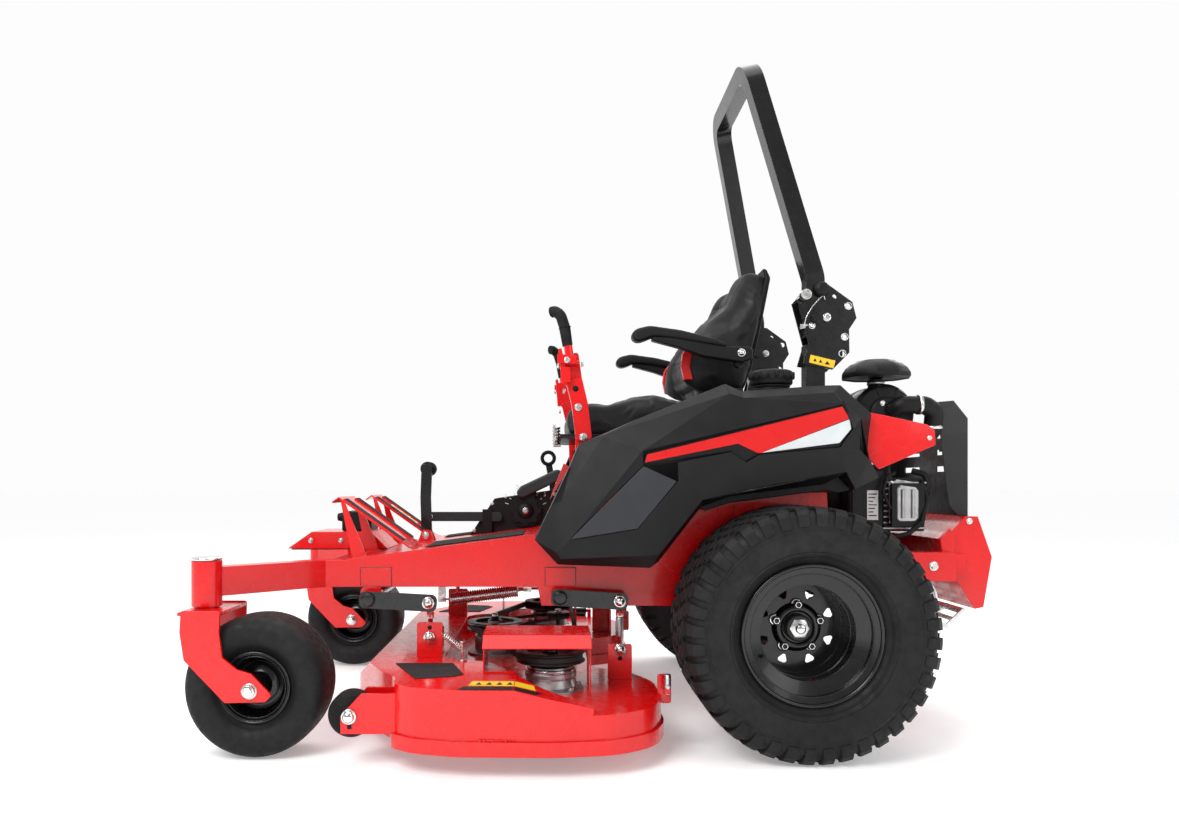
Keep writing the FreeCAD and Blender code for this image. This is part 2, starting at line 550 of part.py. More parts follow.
def hull_outline(circles, radius):
    """The outline of a band pulled tight round circles given in order, anticlockwise."""
    points = []
    count = len(circles)
    for i, (cx, cy) in enumerate(circles):
        px, py = circles[i - 1]
        nx, ny = circles[(i + 1) % count]
        start = math.atan2(cy - py, cx - px) - math.pi / 2
        end = math.atan2(ny - cy, nx - cx) - math.pi / 2
        while end < start:
            end += 2 * math.pi
        steps = 16
        for step in range(steps + 1):
            a = start + (end - start) * step / steps
            points.append((cx + radius * math.cos(a), cy + radius * math.sin(a)))
    return points


belt_run = [(D["mid_spindle_x"], 0), (D["side_spindle_x"], -D["side_spindle_y"]),
            (D["side_spindle_x"], D["side_spindle_y"])]
groove = D["pulley_radius"] - 15
belt_out = prism("belt_out", hull_outline(belt_run, groove + 12), 15, (0, 0, "belt_z + 5.5"), "XY")
belt_in = prism("belt_in", hull_outline(belt_run, groove + 1), 15, (0, 0, "belt_z + 5.5"), "XY")
node("deck_belt", cut("belt_loop", belt_out, belt_in))

arm_bar = prism("idler_bar", strip([(-680, 240), (-586, 205)], 36), 8, (0, 0, 188), "XY", radius=12)
arm_pin = rod("idler_pin", 8, 50, (-586, 205, 190))
idler_wheel = rod("idler_wheel", 36, 20, (-586, 205, "belt_z + 3"))
idler_boss = rod("idler_boss", 20, 12, (-680, 240, 188))
idler_bore = rod("idler_bore", 8.05, 60, (-680, 240, 180))
node("idler_arm", cut("idler_solid", fuse("idler_parts", arm_bar, arm_pin, idler_wheel, idler_boss), idler_bore))

knuckle = ring("chute_knuckle", 11, 6.05, 348, (-814, 796, 160), "X")
chute_top = prism("chute_sheet", strip([(805.5, 164), (1000, 124)], 4), 348, (-814, 0, 0), "YZ")
chute_lip = prism("chute_lip", strip([(999.5, 126), (1000, 70)], 4), 348, (-814, 0, 0), "YZ")
chute_ends = [prism(f"chute_end_{n}", [(830, 158), (1000, 124), (1000, 70), (900, 70), (826, 120)], 4, (x, 0, 0), "YZ")
              for n, x in enumerate((-814, -470))]
node("discharge_chute", knuckle, chute_top, chute_lip, *chute_ends)

ROLLER = [(-28, 8.05), (-28, 46), (-20, 53), (20, 53), (28, 46), (28, 8.05)]
for side, hand in SIDES:
    node(f"{hand}_roller", turned(f"{hand}_roller_tyre", ROLLER, (-1085, f"{side} * 668", 123)))

# ---------------------------------------------------------------- deck lift

for name, x, z, pin in (("front", "front_lift_x", "front_lift_z", (-940, 346)),
                        ("rear", "rear_lift_x", "rear_lift_z", (-432, 351))):
    shaft = rod(f"{name}_lift_rod", "shaft_radius", 810, (x, -405, z), "Y")
    pieces = [shaft]
    start = (D[x], D[z])
    for side, hand in SIDES:
        run = ((pin[0] - start[0]) / 159, (pin[1] - start[1]) / 159)
        ends = [(start[0] - 24 * run[0], start[1] - 24 * run[1]), (pin[0] + 22 * run[0], pin[1] + 22 * run[1])]
        pieces.append(prism(f"{name}_{hand}_arm", strip(ends, 45), 10, (0, outward(side, 395, 405), 0), radius=16))
        pieces.append(rod(f"{name}_{hand}_boss", 19, 8, (x, outward(side, 405, 413), z), "Y"))
        pieces.append(rod(f"{name}_{hand}_pin", 14, 9, (pin[0], outward(side, 405, 414), pin[1]), "Y"))
        pieces.append(rod(f"{name}_{hand}_collar", 18, 8, (x, outward(side, 364.5, 372.5), z), "Y"))
    node(f"{name}_lift_shaft", *pieces)

pedal_shaft = rod("pedal_shaft", 8, 54, (-1007, 58, 500), "Y")
pedal_hub = rod("pedal_hub", 14, 37, (-1007, 66.5, 500), "Y")
pedal_arm = prism("pedal_arm", strip([(-1007, 492), (-1011, 620), (-1007, 726)], 34), 8, (0, 81, 0), radius=8)
pedal_pad = rod("pedal_pad", 20, 76, (-1007, 89, 712), "Y")
node("lift_pedal", pedal_shaft, pedal_hub, pedal_arm, pedal_pad)
strap_bar = prism("strap_bar", strip([(-1014, 559), (-768, 559)], 30), 5, (0, 91, 0), radius=12)
strap_bolt = rod("strap_bolt", 10, 7, (-999, 96, 559), "Y")
node("lift_strap", strap_bar, strap_bolt)

console = hollow_prism("console_box", [(-872, 498.5), (-793, 616), (-586, 646), (-566, 547.6), (-662, 526)], 190,
                       (0, 110, 0.06), 3)
console_bores = [rod("dial_bore", 10.05, 40, (-692, 100, 578), "Y"), rod("brake_bore", 8.05, 30, (-600, 280, 600), "Y")]
sleeves = [ring("dial_sleeve", 16, 10.05, 20, (-692, 110, 578), "Y"),
           ring("brake_sleeve", 14, 8.05, 20, (-600, 280, 600), "Y")]
guide = cut("strap_guide", box("strap_guide_block", (30, 24, 60), (-830, 86, 522)),
            box("strap_guide_slot", (40, 7, 32), (-835, 90, 543)))
guide_foot = prism("strap_guide_foot", [(-830, 504.2), (-800, 508.1), (-800, 524), (-830, 524)], 24, (0, 86, 0))
node("dial_console", cut("console_shell", console, *console_bores), *sleeves, guide, guide_foot)

dial = rod("dial_disc", 52, 9, (-692, 100, 578), "Y")
dial_pin = rod("dial_pin", 10, 30, (-692, 100, 578), "Y")
dial_bar = prism("dial_bar", strip([(-692, 560), (-664, 668)], 26), 8, (0, 92, 0), radius=8)
dial_grip = prism("dial_grip", strip([(-712, 634), (-590, 692)], 32), 24, (0, 80, 0), radius=12)
node("height_dial", dial, dial_pin, dial_bar, dial_grip)
brake_pin = rod("brake_pin", 8, 29, (-600, 280, 600), "Y")
brake_stem = prism("brake_stem", strip([(-600, 586), (-604, 660), (-618, 736)], 22), 7, (0, 302, 0), radius=6)
brake_loop = ring("brake_loop", 26, 15, 14, (-619, 298.5, 752), "Y")
node("brake_lever", brake_pin, brake_stem, brake_loop)

spring_line = [(-931, -150, 323), (-905, -150, 326), (-710, -150, 350), (-682, -150, 353)]
spring_coil = swept("spring_coil", spring_line[1:3], 10, radius=15)
spring_wire = swept("spring_wire", [spring_line[0], spring_line[3]], 10, radius=3)
spring_tabs = [prism("spring_tab_front", [(-945, 316), (-921, 316), (-925, 468), (-941, 468)], 8, (0, -146, 0)),
               prism("spring_tab_rear", [(-694, 346), (-670, 346), (-670, 500), (-694, 498)], 8, (0, -146, 0))]
node("lift_spring", spring_coil, spring_wire, *spring_tabs)

# ---------------------------------------------------------------- side covers and fuel caps

FENDER = [(-656, 525), (-598, 455), (-363, 449), (-341, 462), (-228, 608), (-161, 633), (84, 664), (121, 691),
          (154, 642), (219, 679), (179, 725), (200, 844), (121, 914), (72, 911), (-130, 896), (-173, 917),
          (-399, 820), (-543, 764), (-565, 712), (-614, 608)]
PANEL = [(-640, 525), (-585, 470), (-372, 464), (-250, 628), (-165, 655), (60, 690), (170, 735), (184, 838),
         (114, 896), (-132, 880), (-175, 898), (-395, 802), (-530, 750), (-548, 706), (-598, 604)]
for side, hand in SIDES:
    skin = prism(f"{hand}_cover_skin", FENDER, 157, (0, outward(side, "fender_inner", 520), 0))
    swell = prism(f"{hand}_cover_swell", PANEL, 40, (0, outward(side, 520, "fender_outer"), 0))
    core = prism(f"{hand}_cover_core", inset(FENDER, 5), 152, (0, outward(side, "fender_inner", 515), 0))
    swell_core = prism(f"{hand}_swell_core", inset(PANEL, 7), 50, (0, outward(side, 505, 555), 0))
    neck = rod(f"{hand}_filler_neck", 38, 60, (-36, f"{side} * 430", 880))
    node(f"{hand}_fender", cut(f"{hand}_cover_shell", fuse(f"{hand}_cover_solid", skin, swell), core,
                                 swell_core), neck)
    cap = fuse(f"{hand}_cap_solid", rod(f"{hand}_cap_skirt", 54, 22, (-36, f"{side} * 430", 922)),
               taper(f"{hand}_cap_top", 57, 50, 16, (-36, f"{side} * 430", 944)))
    cap_bore = rod(f"{hand}_cap_bore", "38 + running_gap", 30, (-36, f"{side} * 430", 912))
    node(f"{hand}_fuel_cap", cut(f"{hand}_cap", cap, cap_bore))

# ---------------------------------------------------------------- seat

shelf = box("seat_shelf", (430, "2 * rail_outer", 6), (-372, "-rail_outer", 640))
tower = hollow_prism("seat_tower", [(-500, 646), (-90, 646), (-90, 768), (-500, 768)], 400, (0, -200, 0), 4)
seat_ears = [prism(f"seat_ear_{n}", [(-540, 762), (-497, 750), (-497, 766), (-508, 788), (-528, 788)], 8, (0, y, 0),
                   holes=[(-520, 778, 6.05)]) for n, y in enumerate((-158, 150))]
node("seat_suspension", shelf, tower, *seat_ears)

pan_sheet = box("pan_sheet", (520, 440, 6), (-582, -220, 793))
pan_rod = rod("pan_rod", 6, 340, (-520, -170, 778), "Y")
pan_tabs = [box(f"pan_tab_{n}", (24, 30, 22), (-532, y, 772)) for n, y in enumerate((-140, 110))]
pan_ears = [prism(f"pan_ear_{n}", [(-120, 799), (-62, 799), (-62, 862), (-90, 870), (-105, 850)], 6, (0, y, 0),
                  holes=[(-84, 846, 8.05)]) for n, y in enumerate((-220, 214))]
node("seat_pan", pan_sheet, pan_rod, *pan_tabs, *pan_ears)

CUSHION = [(-582, 799), (-590, 850), (-572, 888), (-511, 896), (-463, 892), (-370, 916), (-311, 921), (-240, 905),
           (-128, 890), (-125, 799)]
node("seat_cushion", prism("cushion_foam", CUSHION, 424, (0, -212, 0), radius=22))

BACK = [(-23, 1302), (12, 1290), (28, 1263), (6, 1159), (-33, 987), (-58, 930), (-205, 930), (-250, 957), (-237, 1036),
        (-201, 1095), (-166, 1144), (-112, 1184), (-82, 1243), (-52, 1292)]
back_foam = prism("back_foam", BACK, 420, (0, -210, 0), radius=20)
back_tongue = prism("back_tongue", [(-100, 834), (-66, 834), (-66, 940), (-110, 940)], 400, (0, -200, 0))
back_rod = rod("back_rod", 8, 444, (-84, -222, 846), "Y")
arm_pins = [rod(f"arm_pin_{hand}", 9, 94, (-85, outward(side, 205, 299), 1027), "Y") for side, hand in SIDES]
node("seat_back", back_foam, back_tongue, back_rod, *arm_pins)

ARMREST = [(-393, 1061), (-384, 1095), (-340, 1106), (-254, 1092), (-153, 1068), (-60, 1046), (-50, 1008),
           (-81, 1000), (-191, 1018), (-335, 1052)]
for side, hand in SIDES:
    pad = prism(f"{hand}_arm_pad", ARMREST, 56, (0, outward(side, 248, 304), 0), radius=14)
    bore = rod(f"{hand}_arm_bore", 9.05, 70, (-85, outward(side, 240, 310), 1027), "Y")
    node(f"{hand}_armrest", cut(f"{hand}_arm", pad, bore))

# ---------------------------------------------------------------- control levers

for side, hand in SIDES:
    channel_line = strip([(-524, 782), (-536, 880), (-552, 948)], 44)
    channel = prism(f"{hand}_lever_channel", channel_line, 24, (0, outward(side, 328, 352), 0), radius=10)
    clamp = prism(f"{hand}_lever_clamp", strip([(-550, 930), (-562, 1018)], 46), 10, (0, outward(side, 330, 340), 0),
                  radius=8)
    pivot = rod(f"{hand}_lever_pivot", 8, 44, (-526, outward(side, 308, 352), 790), "Y")
    keeper = rod(f"{hand}_lever_keeper", 14, 6, (-526, outward(side, 306, 312), 790), "Y")
    grip_pin = rod(f"{hand}_grip_pin", 6, 50, (-586, f"{side} * 360", 990), "X")
    grip_block = box(f"{hand}_grip_block", (14, 28, 30), (-590, outward(side, 340, 368), 975))
    node(f"{hand}_lever_base", channel, clamp, pivot, keeper, grip_block, grip_pin)
    y = side * 360
    path = [(-559, y, 985), (-571, y, 1060), (-588, y, 1112), (-600, side * 346, 1142)]
    tube = swept(f"{hand}_grip_tube", [path[0], (-569, y, 1050)], 10, radius=10)
    foam = swept(f"{hand}_grip_foam", [(-568, y, 1043), *path[1:]], 60, radius=17)
    eye = rod(f"{hand}_grip_eye", 13, 24, (-571, f"{side} * 360", 990), "X")
    eye_bore = rod(f"{hand}_grip_bore", 6.05, 60, (-590, f"{side} * 360", 990), "X")
    node(f"{hand}_lever_grip", cut(f"{hand}_grip", fuse(f"{hand}_grip_solid", tube, foam, eye), eye_bore))

# ---------------------------------------------------------------- roll bar

HINGE_PLATE = [(50, 1159), (71, 1184), (96, 1203), (133, 1200), (198, 1153), (209, 1110), (189, 1079), (190, 1017),
               (145, 971), (65, 986), (81, 1042)]
PLATE_HOLES = [(187, 1142, 8), (177, 1059, 8), (171, 1014, 8), (150, 1168, 6)]
post_pieces = []
for side, hand in SIDES:
    post = box(f"{hand}_post_out", ("rops_bar", "rops_bar", 400), (76, outward(side, 312, 362), 640))
    post_in = box(f"{hand}_post_in", ("rops_bar - 8", "rops_bar - 8", 400), (80, outward(side, 316, 358), 640))
    plates = [prism(f"{hand}_hinge_plate_{n}", HINGE_PLATE, 6, (0, outward(side, inner, inner + 6), 0),
                    holes=[*PLATE_HOLES, (66, 1168, 6.05)]) for n, inner in enumerate((306, 362))]
    bolt = rod(f"{hand}_fold_bolt", 8, 76, (101, outward(side, 299, 375), 1112), "Y")
    heads = [rod(f"{hand}_fold_head_{n}", 14, 9, (101, outward(side, inner, inner + 9), 1112), "Y")
             for n, inner in enumerate((297, 368))]
    post_pieces += [cut(f"{hand}_post", post, post_in), *plates, bolt, *heads]
    pin = rod(f"{hand}_pin_shank", 6, 96, (66, outward(side, 290, 386), 1168), "Y")
    pin_head = rod(f"{hand}_pin_knob", 14, 22, (66, outward(side, 376, 398), 1168), "Y")
    node(f"{hand}_rops_pin", pin, pin_head)
node("rops_posts", *post_pieces)

HOOP = [(101, -337, 1062), (101, -337, 1222), (-45, -215, 1855), (-45, 215, 1855), (101, 337, 1222), (101, 337, 1062)]
hoop_bar = swept("hoop_bar", HOOP, 70, square=D["rops_bar"] - 1)
hoop_bores = [rod(f"hoop_bore_{hand}", 8.05, 80, (101, outward(side, 297, 377), 1112), "Y") for side, hand in SIDES]
node("rops_hoop", cut("hoop", hoop_bar, *hoop_bores))

# ---------------------------------------------------------------- engine and rear end

crankcase = box("crankcase", (260, 320, 172), (120, -160, 408))
shroud = rod("fan_shroud", 178, 140, (250, 0, 580))
screen = rod("fan_screen_recess", 130, 20, (250, 0, 705))
shroud = cut("shroud", shroud, screen)
engine_pieces = [crankcase, shroud, rod("crank_boss", 40, 40, (250, 0, 370)), rod("crank", 14, 90, (250, 0, 300))]
for side, hand in SIDES:
    engine_pieces.append(box(f"{hand}_cylinder", (112, 130, 150), (324, outward(side, 130, 260), 530)))
    engine_pieces.append(box(f"{hand}_valve_cover", (90, 34, 120), (335, outward(side, 256, 290), 545)))
engine_pieces.append(rod("oil_filter", 38, 90, (200, -250, 470), "Y"))
engine_pieces.append(rod("crank_washer", 26, 6, (250, 0, 294)))
node("engine", *engine_pieces)
clutch = turned("clutch", [(0, 14.05), (0, 62), (6, 62), (6, 44), (20, 44), (20, 62), (26, 62), (26, 70), (64, 70),
                           (64, 14.05)], (250, 0, 302), "Z")
node("pto_pulley", clutch)

CAP = [(959, 20), (959, 97), (968, 98), (1004, 84), (1019, 56), (1021, 20)]
canister = rod("canister", 84, 250, (335, -235, 862), "Y")
canister_end = taper("canister_end", 74, 84, 12, (335, -247, 862), "Y")
saddle = box("canister_saddle", (60, 90, 60), (300, -110, 720))
stem = rod("intake_stem", 22, 80, (322, -200, 885))
cap = turned("intake_cap", [(z - 959, r) for z, r in [(959, 0), *CAP[1:5], (1021, 50), (1021, 0)]], (322, -200, 959), "Z")
hose = swept("intake_hose", [(335, -215, 885), (335, -270, 885), (440, -275, 880), (462, -262, 810), (380, -110, 790),
                             (380, -110, 721)], 40, radius=27)
node("air_cleaner", canister, canister_end, saddle, stem, cap, hose)

GUARD = [(475, 894), (521, 898), (561, 848), (561, 573), (536, 573), (510, 600), (500, 660), (494, 718)]
guard_sides = [prism(f"guard_side_{n}", GUARD, 5, (0, y, 0)) for n, y in enumerate((-256, 251))]
guard_back = box("guard_back", (5, 512, 275), (556, -256, 573))
guard_slots = [box(f"guard_slot_{n}", (30, 120, 16), (545, y, z)) for n, (y, z) in
               enumerate([(y, z) for y in (-180, 60) for z in (700, 750, 800)])]
node("rear_guard", cut("guard", fuse("guard_solid", *guard_sides, guard_back), *guard_slots))

BUMPER = [(534, 573), (568, 573), (607, 461), (584, 322), (560, 317), (496, 416), (472, 509), (491, 528)]
node("rear_bumper", hollow_prism("bumper", BUMPER, 600, (0, -300, 0), 6))
node("rear_arm_brackets", *[box(f"{hand}_bumper_arm", (62, 13, 60), (466, outward(side, 300, 313), 410))
                            for side, hand in SIDES])

muffler = rod("muffler_can", 58, 460, (430, -230, 336), "Y")
straps = [box(f"muffler_strap_{n}", (26, 24, 12), (417, y, 388)) for n, y in enumerate((-232, 208))]
grille_line = strip([(474, 268), (518, 252), (572, 306)], 4)
grille = prism("grille_sheet", grille_line, 440, (0, -220, 0))
grille_slots = [box(f"grille_slot_{n}", (16, 400, 70), (500 + 22 * n, -200, 240)) for n in range(3)]
bars = [prism(f"grille_bar_{n}", [(462, 300), (474, 266), (518, 250), (574, 306), (566, 310), (516, 262)], 5, (0, y, 0))
        for n, y in enumerate((-220, -112, -3, 105, 215))]
node("muffler", muffler, *straps, cut("grille", grille, *grille_slots), *bars)

# ---------------------------------------------------------------- checks and export

doc.recompute()
faults = 0
for obj in doc.Objects:
    blank = hasattr(obj, "Shape") and not obj.isDerivedFrom("App::Origin") and obj.Shape.isNull()
    if blank or {"Invalid", "Error"} & set(obj.State):
        faults += 1
        print("fault", obj.Name, obj.State)
for obj in NODES:
    shape = obj.Shape
    if shape.isNull() or not shape.isValid():
        faults += 1
        print("shape", obj.Label)
        continue
    shape.exportStep(f"parts/{obj.Label}.step")
whole = FreeCAD.BoundBox()
for obj in NODES:
    whole.add(obj.Shape.BoundBox)
print(f"{len(NODES)} sub-parts, {faults} faults")
print(f"x {whole.XMin:.2f} {whole.XMax:.2f}  y {whole.YMin:.2f} {whole.YMax:.2f}  z {whole.ZMin:.2f} {whole.ZMax:.2f}")
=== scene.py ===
"""Zero turn mower: the visible model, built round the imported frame.

Places are written in the machine's own millimetres: x = 0 at the rear axle and the front towards -X,
y = 0 on the centreline and the operator's left at -Y, z = 0 on the ground. at() turns them into the
frame's metres.
"""
import json
import math
import bmesh
import bpy
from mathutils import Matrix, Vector


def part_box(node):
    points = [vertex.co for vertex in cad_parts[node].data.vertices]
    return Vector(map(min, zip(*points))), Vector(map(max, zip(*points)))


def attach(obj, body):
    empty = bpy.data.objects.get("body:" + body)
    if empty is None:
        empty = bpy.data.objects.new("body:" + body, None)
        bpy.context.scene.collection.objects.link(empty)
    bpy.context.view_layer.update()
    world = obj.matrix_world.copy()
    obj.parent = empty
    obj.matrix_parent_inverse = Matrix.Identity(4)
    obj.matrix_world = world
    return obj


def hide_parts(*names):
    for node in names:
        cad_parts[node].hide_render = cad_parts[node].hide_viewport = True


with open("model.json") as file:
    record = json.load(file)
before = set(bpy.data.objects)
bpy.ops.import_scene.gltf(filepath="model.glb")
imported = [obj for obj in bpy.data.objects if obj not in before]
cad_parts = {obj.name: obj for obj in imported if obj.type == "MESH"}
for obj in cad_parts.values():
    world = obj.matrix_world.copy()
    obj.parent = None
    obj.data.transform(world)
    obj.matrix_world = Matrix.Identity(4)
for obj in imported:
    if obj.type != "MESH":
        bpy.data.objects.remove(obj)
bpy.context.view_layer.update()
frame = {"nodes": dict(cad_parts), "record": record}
scene = bpy.context.scene
NODES = frame["nodes"]
SIDES = ((-1, "left"), (1, "right"))


def middle(node):
    low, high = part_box(node)
    return (low + high) / 2


AXLE = middle("left_rear_tyre")
ORIGIN = Vector((AXLE.x, (AXLE.y + middle("right_rear_tyre").y) / 2, 0))


def at(x, y, z):
    """A place in machine millimetres, in the frame's metres."""
    return Vector((x, y, z)) / 1000 + ORIGIN


# ---------------------------------------------------------------- materials


class Shader:
    """A small node builder round one Principled shader."""

    def __init__(self, name, colour, roughness, metallic=0.0, **sockets):
        self.material = bpy.data.materials.new(name)
        self.material.use_nodes = True
        self.tree = self.material.node_tree
        self.shader = self.tree.nodes["Principled BSDF"]
        self.set("Base Color", (*colour, 1))
        self.set("Roughness", roughness)
        self.set("Metallic", metallic)
        for socket, value in sockets.items():
            self.set(socket.replace("_", " "), value)
        self.place = self.tree.nodes.new("ShaderNodeTexCoord").outputs["Object"]
        self.height = None

    def set(self, socket, value):
        self.shader.inputs[socket].default_value = value

    def node(self, kind, **inputs):
        new = self.tree.nodes.new(kind)
        for name, value in inputs.items():
            socket = new.inputs[name.replace("_", " ")]
            if isinstance(value, bpy.types.NodeSocket):
                self.tree.links.new(value, socket)
            else:
                socket.default_value = value
        return new

    def noise(self, scale, detail=3.0):
        new = self.node("ShaderNodeTexNoise", Vector=self.place, Scale=scale, Detail=detail)
        return new.outputs["Fac"]

    def cells(self, scale):
        return self.node("ShaderNodeTexVoronoi", Vector=self.place, Scale=scale).outputs["Distance"]

    def ramp(self, value, low, high):
        """Spreads the middle of a 0 to 1 pattern between two levels."""
        new = self.node("ShaderNodeMapRange", Value=value, From_Min=0.35, From_Max=0.65, To_Min=low,
                        To_Max=high)
        return new.outputs["Result"]

    def vary_colour(self, value, other, share):
        mix = self.tree.nodes.new("ShaderNodeMix")
        mix.data_type = "RGBA"
        self.tree.links.new(self.ramp(value, 0, share), mix.inputs["Factor"])
        source = self.shader.inputs["Base Color"]
        if source.is_linked:
            self.tree.links.new(source.links[0].from_socket, mix.inputs[6])
        else:
            mix.inputs[6].default_value = source.default_value
        mix.inputs[7].default_value = (*other, 1)
        self.tree.links.new(mix.outputs[2], source)

    def vary_roughness(self, value, low, high):
        self.tree.links.new(self.ramp(value, low, high), self.shader.inputs["Roughness"])

    def bump(self, value, strength, distance):
        new = self.node("ShaderNodeBump", Height=value, Strength=strength, Distance=distance)
        if self.height:
            self.tree.links.new(self.height, new.inputs["Normal"])
        self.height = new.outputs["Normal"]
        self.tree.links.new(self.height, self.shader.inputs["Normal"])

    def soften(self, radius):
        """Rounds hard edges in the shading by this radius, in metres."""
        new = self.tree.nodes.new("ShaderNodeBevel")
        new.samples = 6
        new.inputs["Radius"].default_value = radius
        self.height = new.outputs["Normal"]
        self.tree.links.new(self.height, self.shader.inputs["Normal"])


def powder_coat(name, colour, dark, roughness, coat):
    paint = Shader(name, colour, roughness, Coat_Weight=coat, Coat_Roughness=0.06, Specular_IOR_Level=0.35)
    paint.soften(0.0022)
    paint.vary_colour(paint.noise(6), dark, 0.35)
    paint.vary_roughness(paint.noise(40, 5), roughness * 0.85, roughness * 1.25)
    paint.bump(paint.noise(900, 2), 0.05, 0.0004)
    return paint.material


def moulded(name, colour, roughness, grain, depth):
    plastic = Shader(name, colour, roughness, Specular_IOR_Level=0.22)
    plastic.vary_roughness(plastic.noise(25, 4), roughness * 0.85, min(1, roughness * 1.2))
    plastic.vary_colour(plastic.noise(9), [c * 1.5 + 0.002 for c in colour], 0.5)
    plastic.bump(plastic.cells(grain), 0.35, depth)
    return plastic.material


def bright_metal(name, colour, roughness, scratch):
    metal = Shader(name, colour, roughness, 1.0)
    metal.soften(0.0008)
    metal.vary_roughness(metal.noise(scratch, 6), roughness * 0.7, roughness * 1.5)
    metal.vary_colour(metal.noise(30), [c * 0.72 for c in colour], 0.6)
    metal.bump(metal.noise(1500, 3), 0.05, 0.0002)
    return metal.material


def tyre_rubber():
    rubber = Shader("tyre_rubber", (0.007, 0.007, 0.0075), 0.6, Specular_IOR_Level=0.25)
    rubber.vary_colour(rubber.noise(14, 6), (0.015, 0.015, 0.016), 0.6)
    rubber.vary_roughness(rubber.noise(60, 5), 0.5, 0.75)
    rubber.bump(rubber.noise(260, 6), 0.25, 0.0006)
    return rubber.material


def vinyl():
    cover = Shader("seat_vinyl", (0.006, 0.006, 0.0066), 0.48, Specular_IOR_Level=0.35, Sheen_Weight=0.05)
    cover.vary_roughness(cover.noise(30, 4), 0.42, 0.6)
    cover.vary_colour(cover.noise(12, 5), (0.012, 0.012, 0.013), 0.5)
    cover.bump(cover.cells(420), 0.4, 0.0007)
    cover.bump(cover.noise(18, 3), 0.12, 0.004)
    return cover.material


def plain(name, colour, roughness, **sockets):
    sheet = Shader(name, colour, roughness, **sockets)
    sheet.vary_roughness(sheet.noise(50, 4), roughness * 0.85, min(1, roughness * 1.15))
    sheet.vary_colour(sheet.noise(20, 4), [c * 0.8 for c in colour], 0.4)
    return sheet.material


RED = powder_coat("red_paint", (0.7, 0.003, 0.004), (0.58, 0.002, 0.003), 0.24, 0.35)
RED_MOULDED = powder_coat("red_moulding", (0.62, 0.006, 0.006), (0.52, 0.004, 0.004), 0.32, 0.2)
BLACK = powder_coat("black_paint", (0.0035, 0.0035, 0.004), (0.007, 0.007, 0.0075), 0.24, 0.3)
SATIN = powder_coat("dark_steel", (0.012, 0.012, 0.013), (0.02, 0.02, 0.021), 0.42, 0.1)
COVER = moulded("cover_plastic", (0.006, 0.006, 0.0068), 0.4, 900, 0.0006)
INSERT = moulded("grey_insert", (0.03, 0.032, 0.036), 0.36, 1100, 0.0004)
PLASTIC = moulded("black_plastic", (0.005, 0.005, 0.0056), 0.45, 1400, 0.0004)
ENGINE = moulded("engine_black", (0.006, 0.006, 0.007), 0.36, 1200, 0.0003)
FOAM = moulded("foam_grip", (0.006, 0.006, 0.006), 0.7, 700, 0.001)
FOAM_SMOOTH = moulded("armrest_foam", (0.006, 0.006, 0.0065), 0.5, 900, 0.0005)
GRIP_TAPE = moulded("grip_tape", (0.02, 0.02, 0.02), 0.9, 800, 0.002)
ZINC = bright_metal("zinc", (0.72, 0.72, 0.71), 0.26, 90)
ALLOY = bright_metal("alloy", (0.5, 0.5, 0.51), 0.38, 60)
STEEL = bright_metal("polished_steel", (0.8, 0.8, 0.79), 0.14, 120)
RUBBER = tyre_rubber()
BELT = plain("belt_rubber", (0.02, 0.02, 0.02), 0.8)
VINYL = vinyl()
WHITE = plain("white_label", (0.75, 0.75, 0.75), 0.35)
YELLOW = plain("yellow_label", (0.85, 0.55, 0.02), 0.35)
SILVER = plain("silver_label", (0.62, 0.65, 0.66), 0.3)
CREAM = plain("cream_label", (0.75, 0.6, 0.36), 0.4)
TAN = plain("tan_label", (0.55, 0.36, 0.14), 0.45)
REFLECTOR = plain("red_reflector", (0.35, 0.01, 0.01), 0.1, Coat_Weight=1.0)
SLOTS = {"red_paint": RED, "black_paint": BLACK, "cover_plastic": COVER, "black_plastic": PLASTIC,
         "tyre_rubber": RUBBER, "seat_vinyl": VINYL, "foam_grip": FOAM, "zinc": ZINC, "dark_steel": SATIN,
         "engine_black": ENGINE, "belt_rubber": BELT, "alloy": ALLOY}
SLOT_OF = {material.name: slot for slot, material in SLOTS.items()}
SLOT_OF |= {"red_moulding": "red_paint", "grey_insert": "cover_plastic", "grip_tape": "black_plastic",
            "polished_steel": "zinc", "white_label": "cover_plastic", "yellow_label": "cover_plastic",
            "red_reflector": "cover_plastic", "silver_label": "cover_plastic", "armrest_foam": "foam_grip",
            "cream_label": "red_paint", "tan_label": "red_paint"}

for entry in frame["record"]["subparts"]:
    cad = NODES[entry["node"]]
    cad.data.materials.clear()
    cad.data.materials.append(SLOTS[entry["material_slot"]])


# ---------------------------------------------------------------- stage


def area_light(name, place, target, size, power):
    data = bpy.data.lights.new(name, "AREA")
    data.shape = "RECTANGLE"
    data.size, data.size_y = size
    data.energy = power
    lamp = bpy.data.objects.new(name, data)
    lamp.location = place
    lamp.rotation_euler = (target - place).to_track_quat("-Z", "Y").to_euler()
    scene.collection.objects.link(lamp)


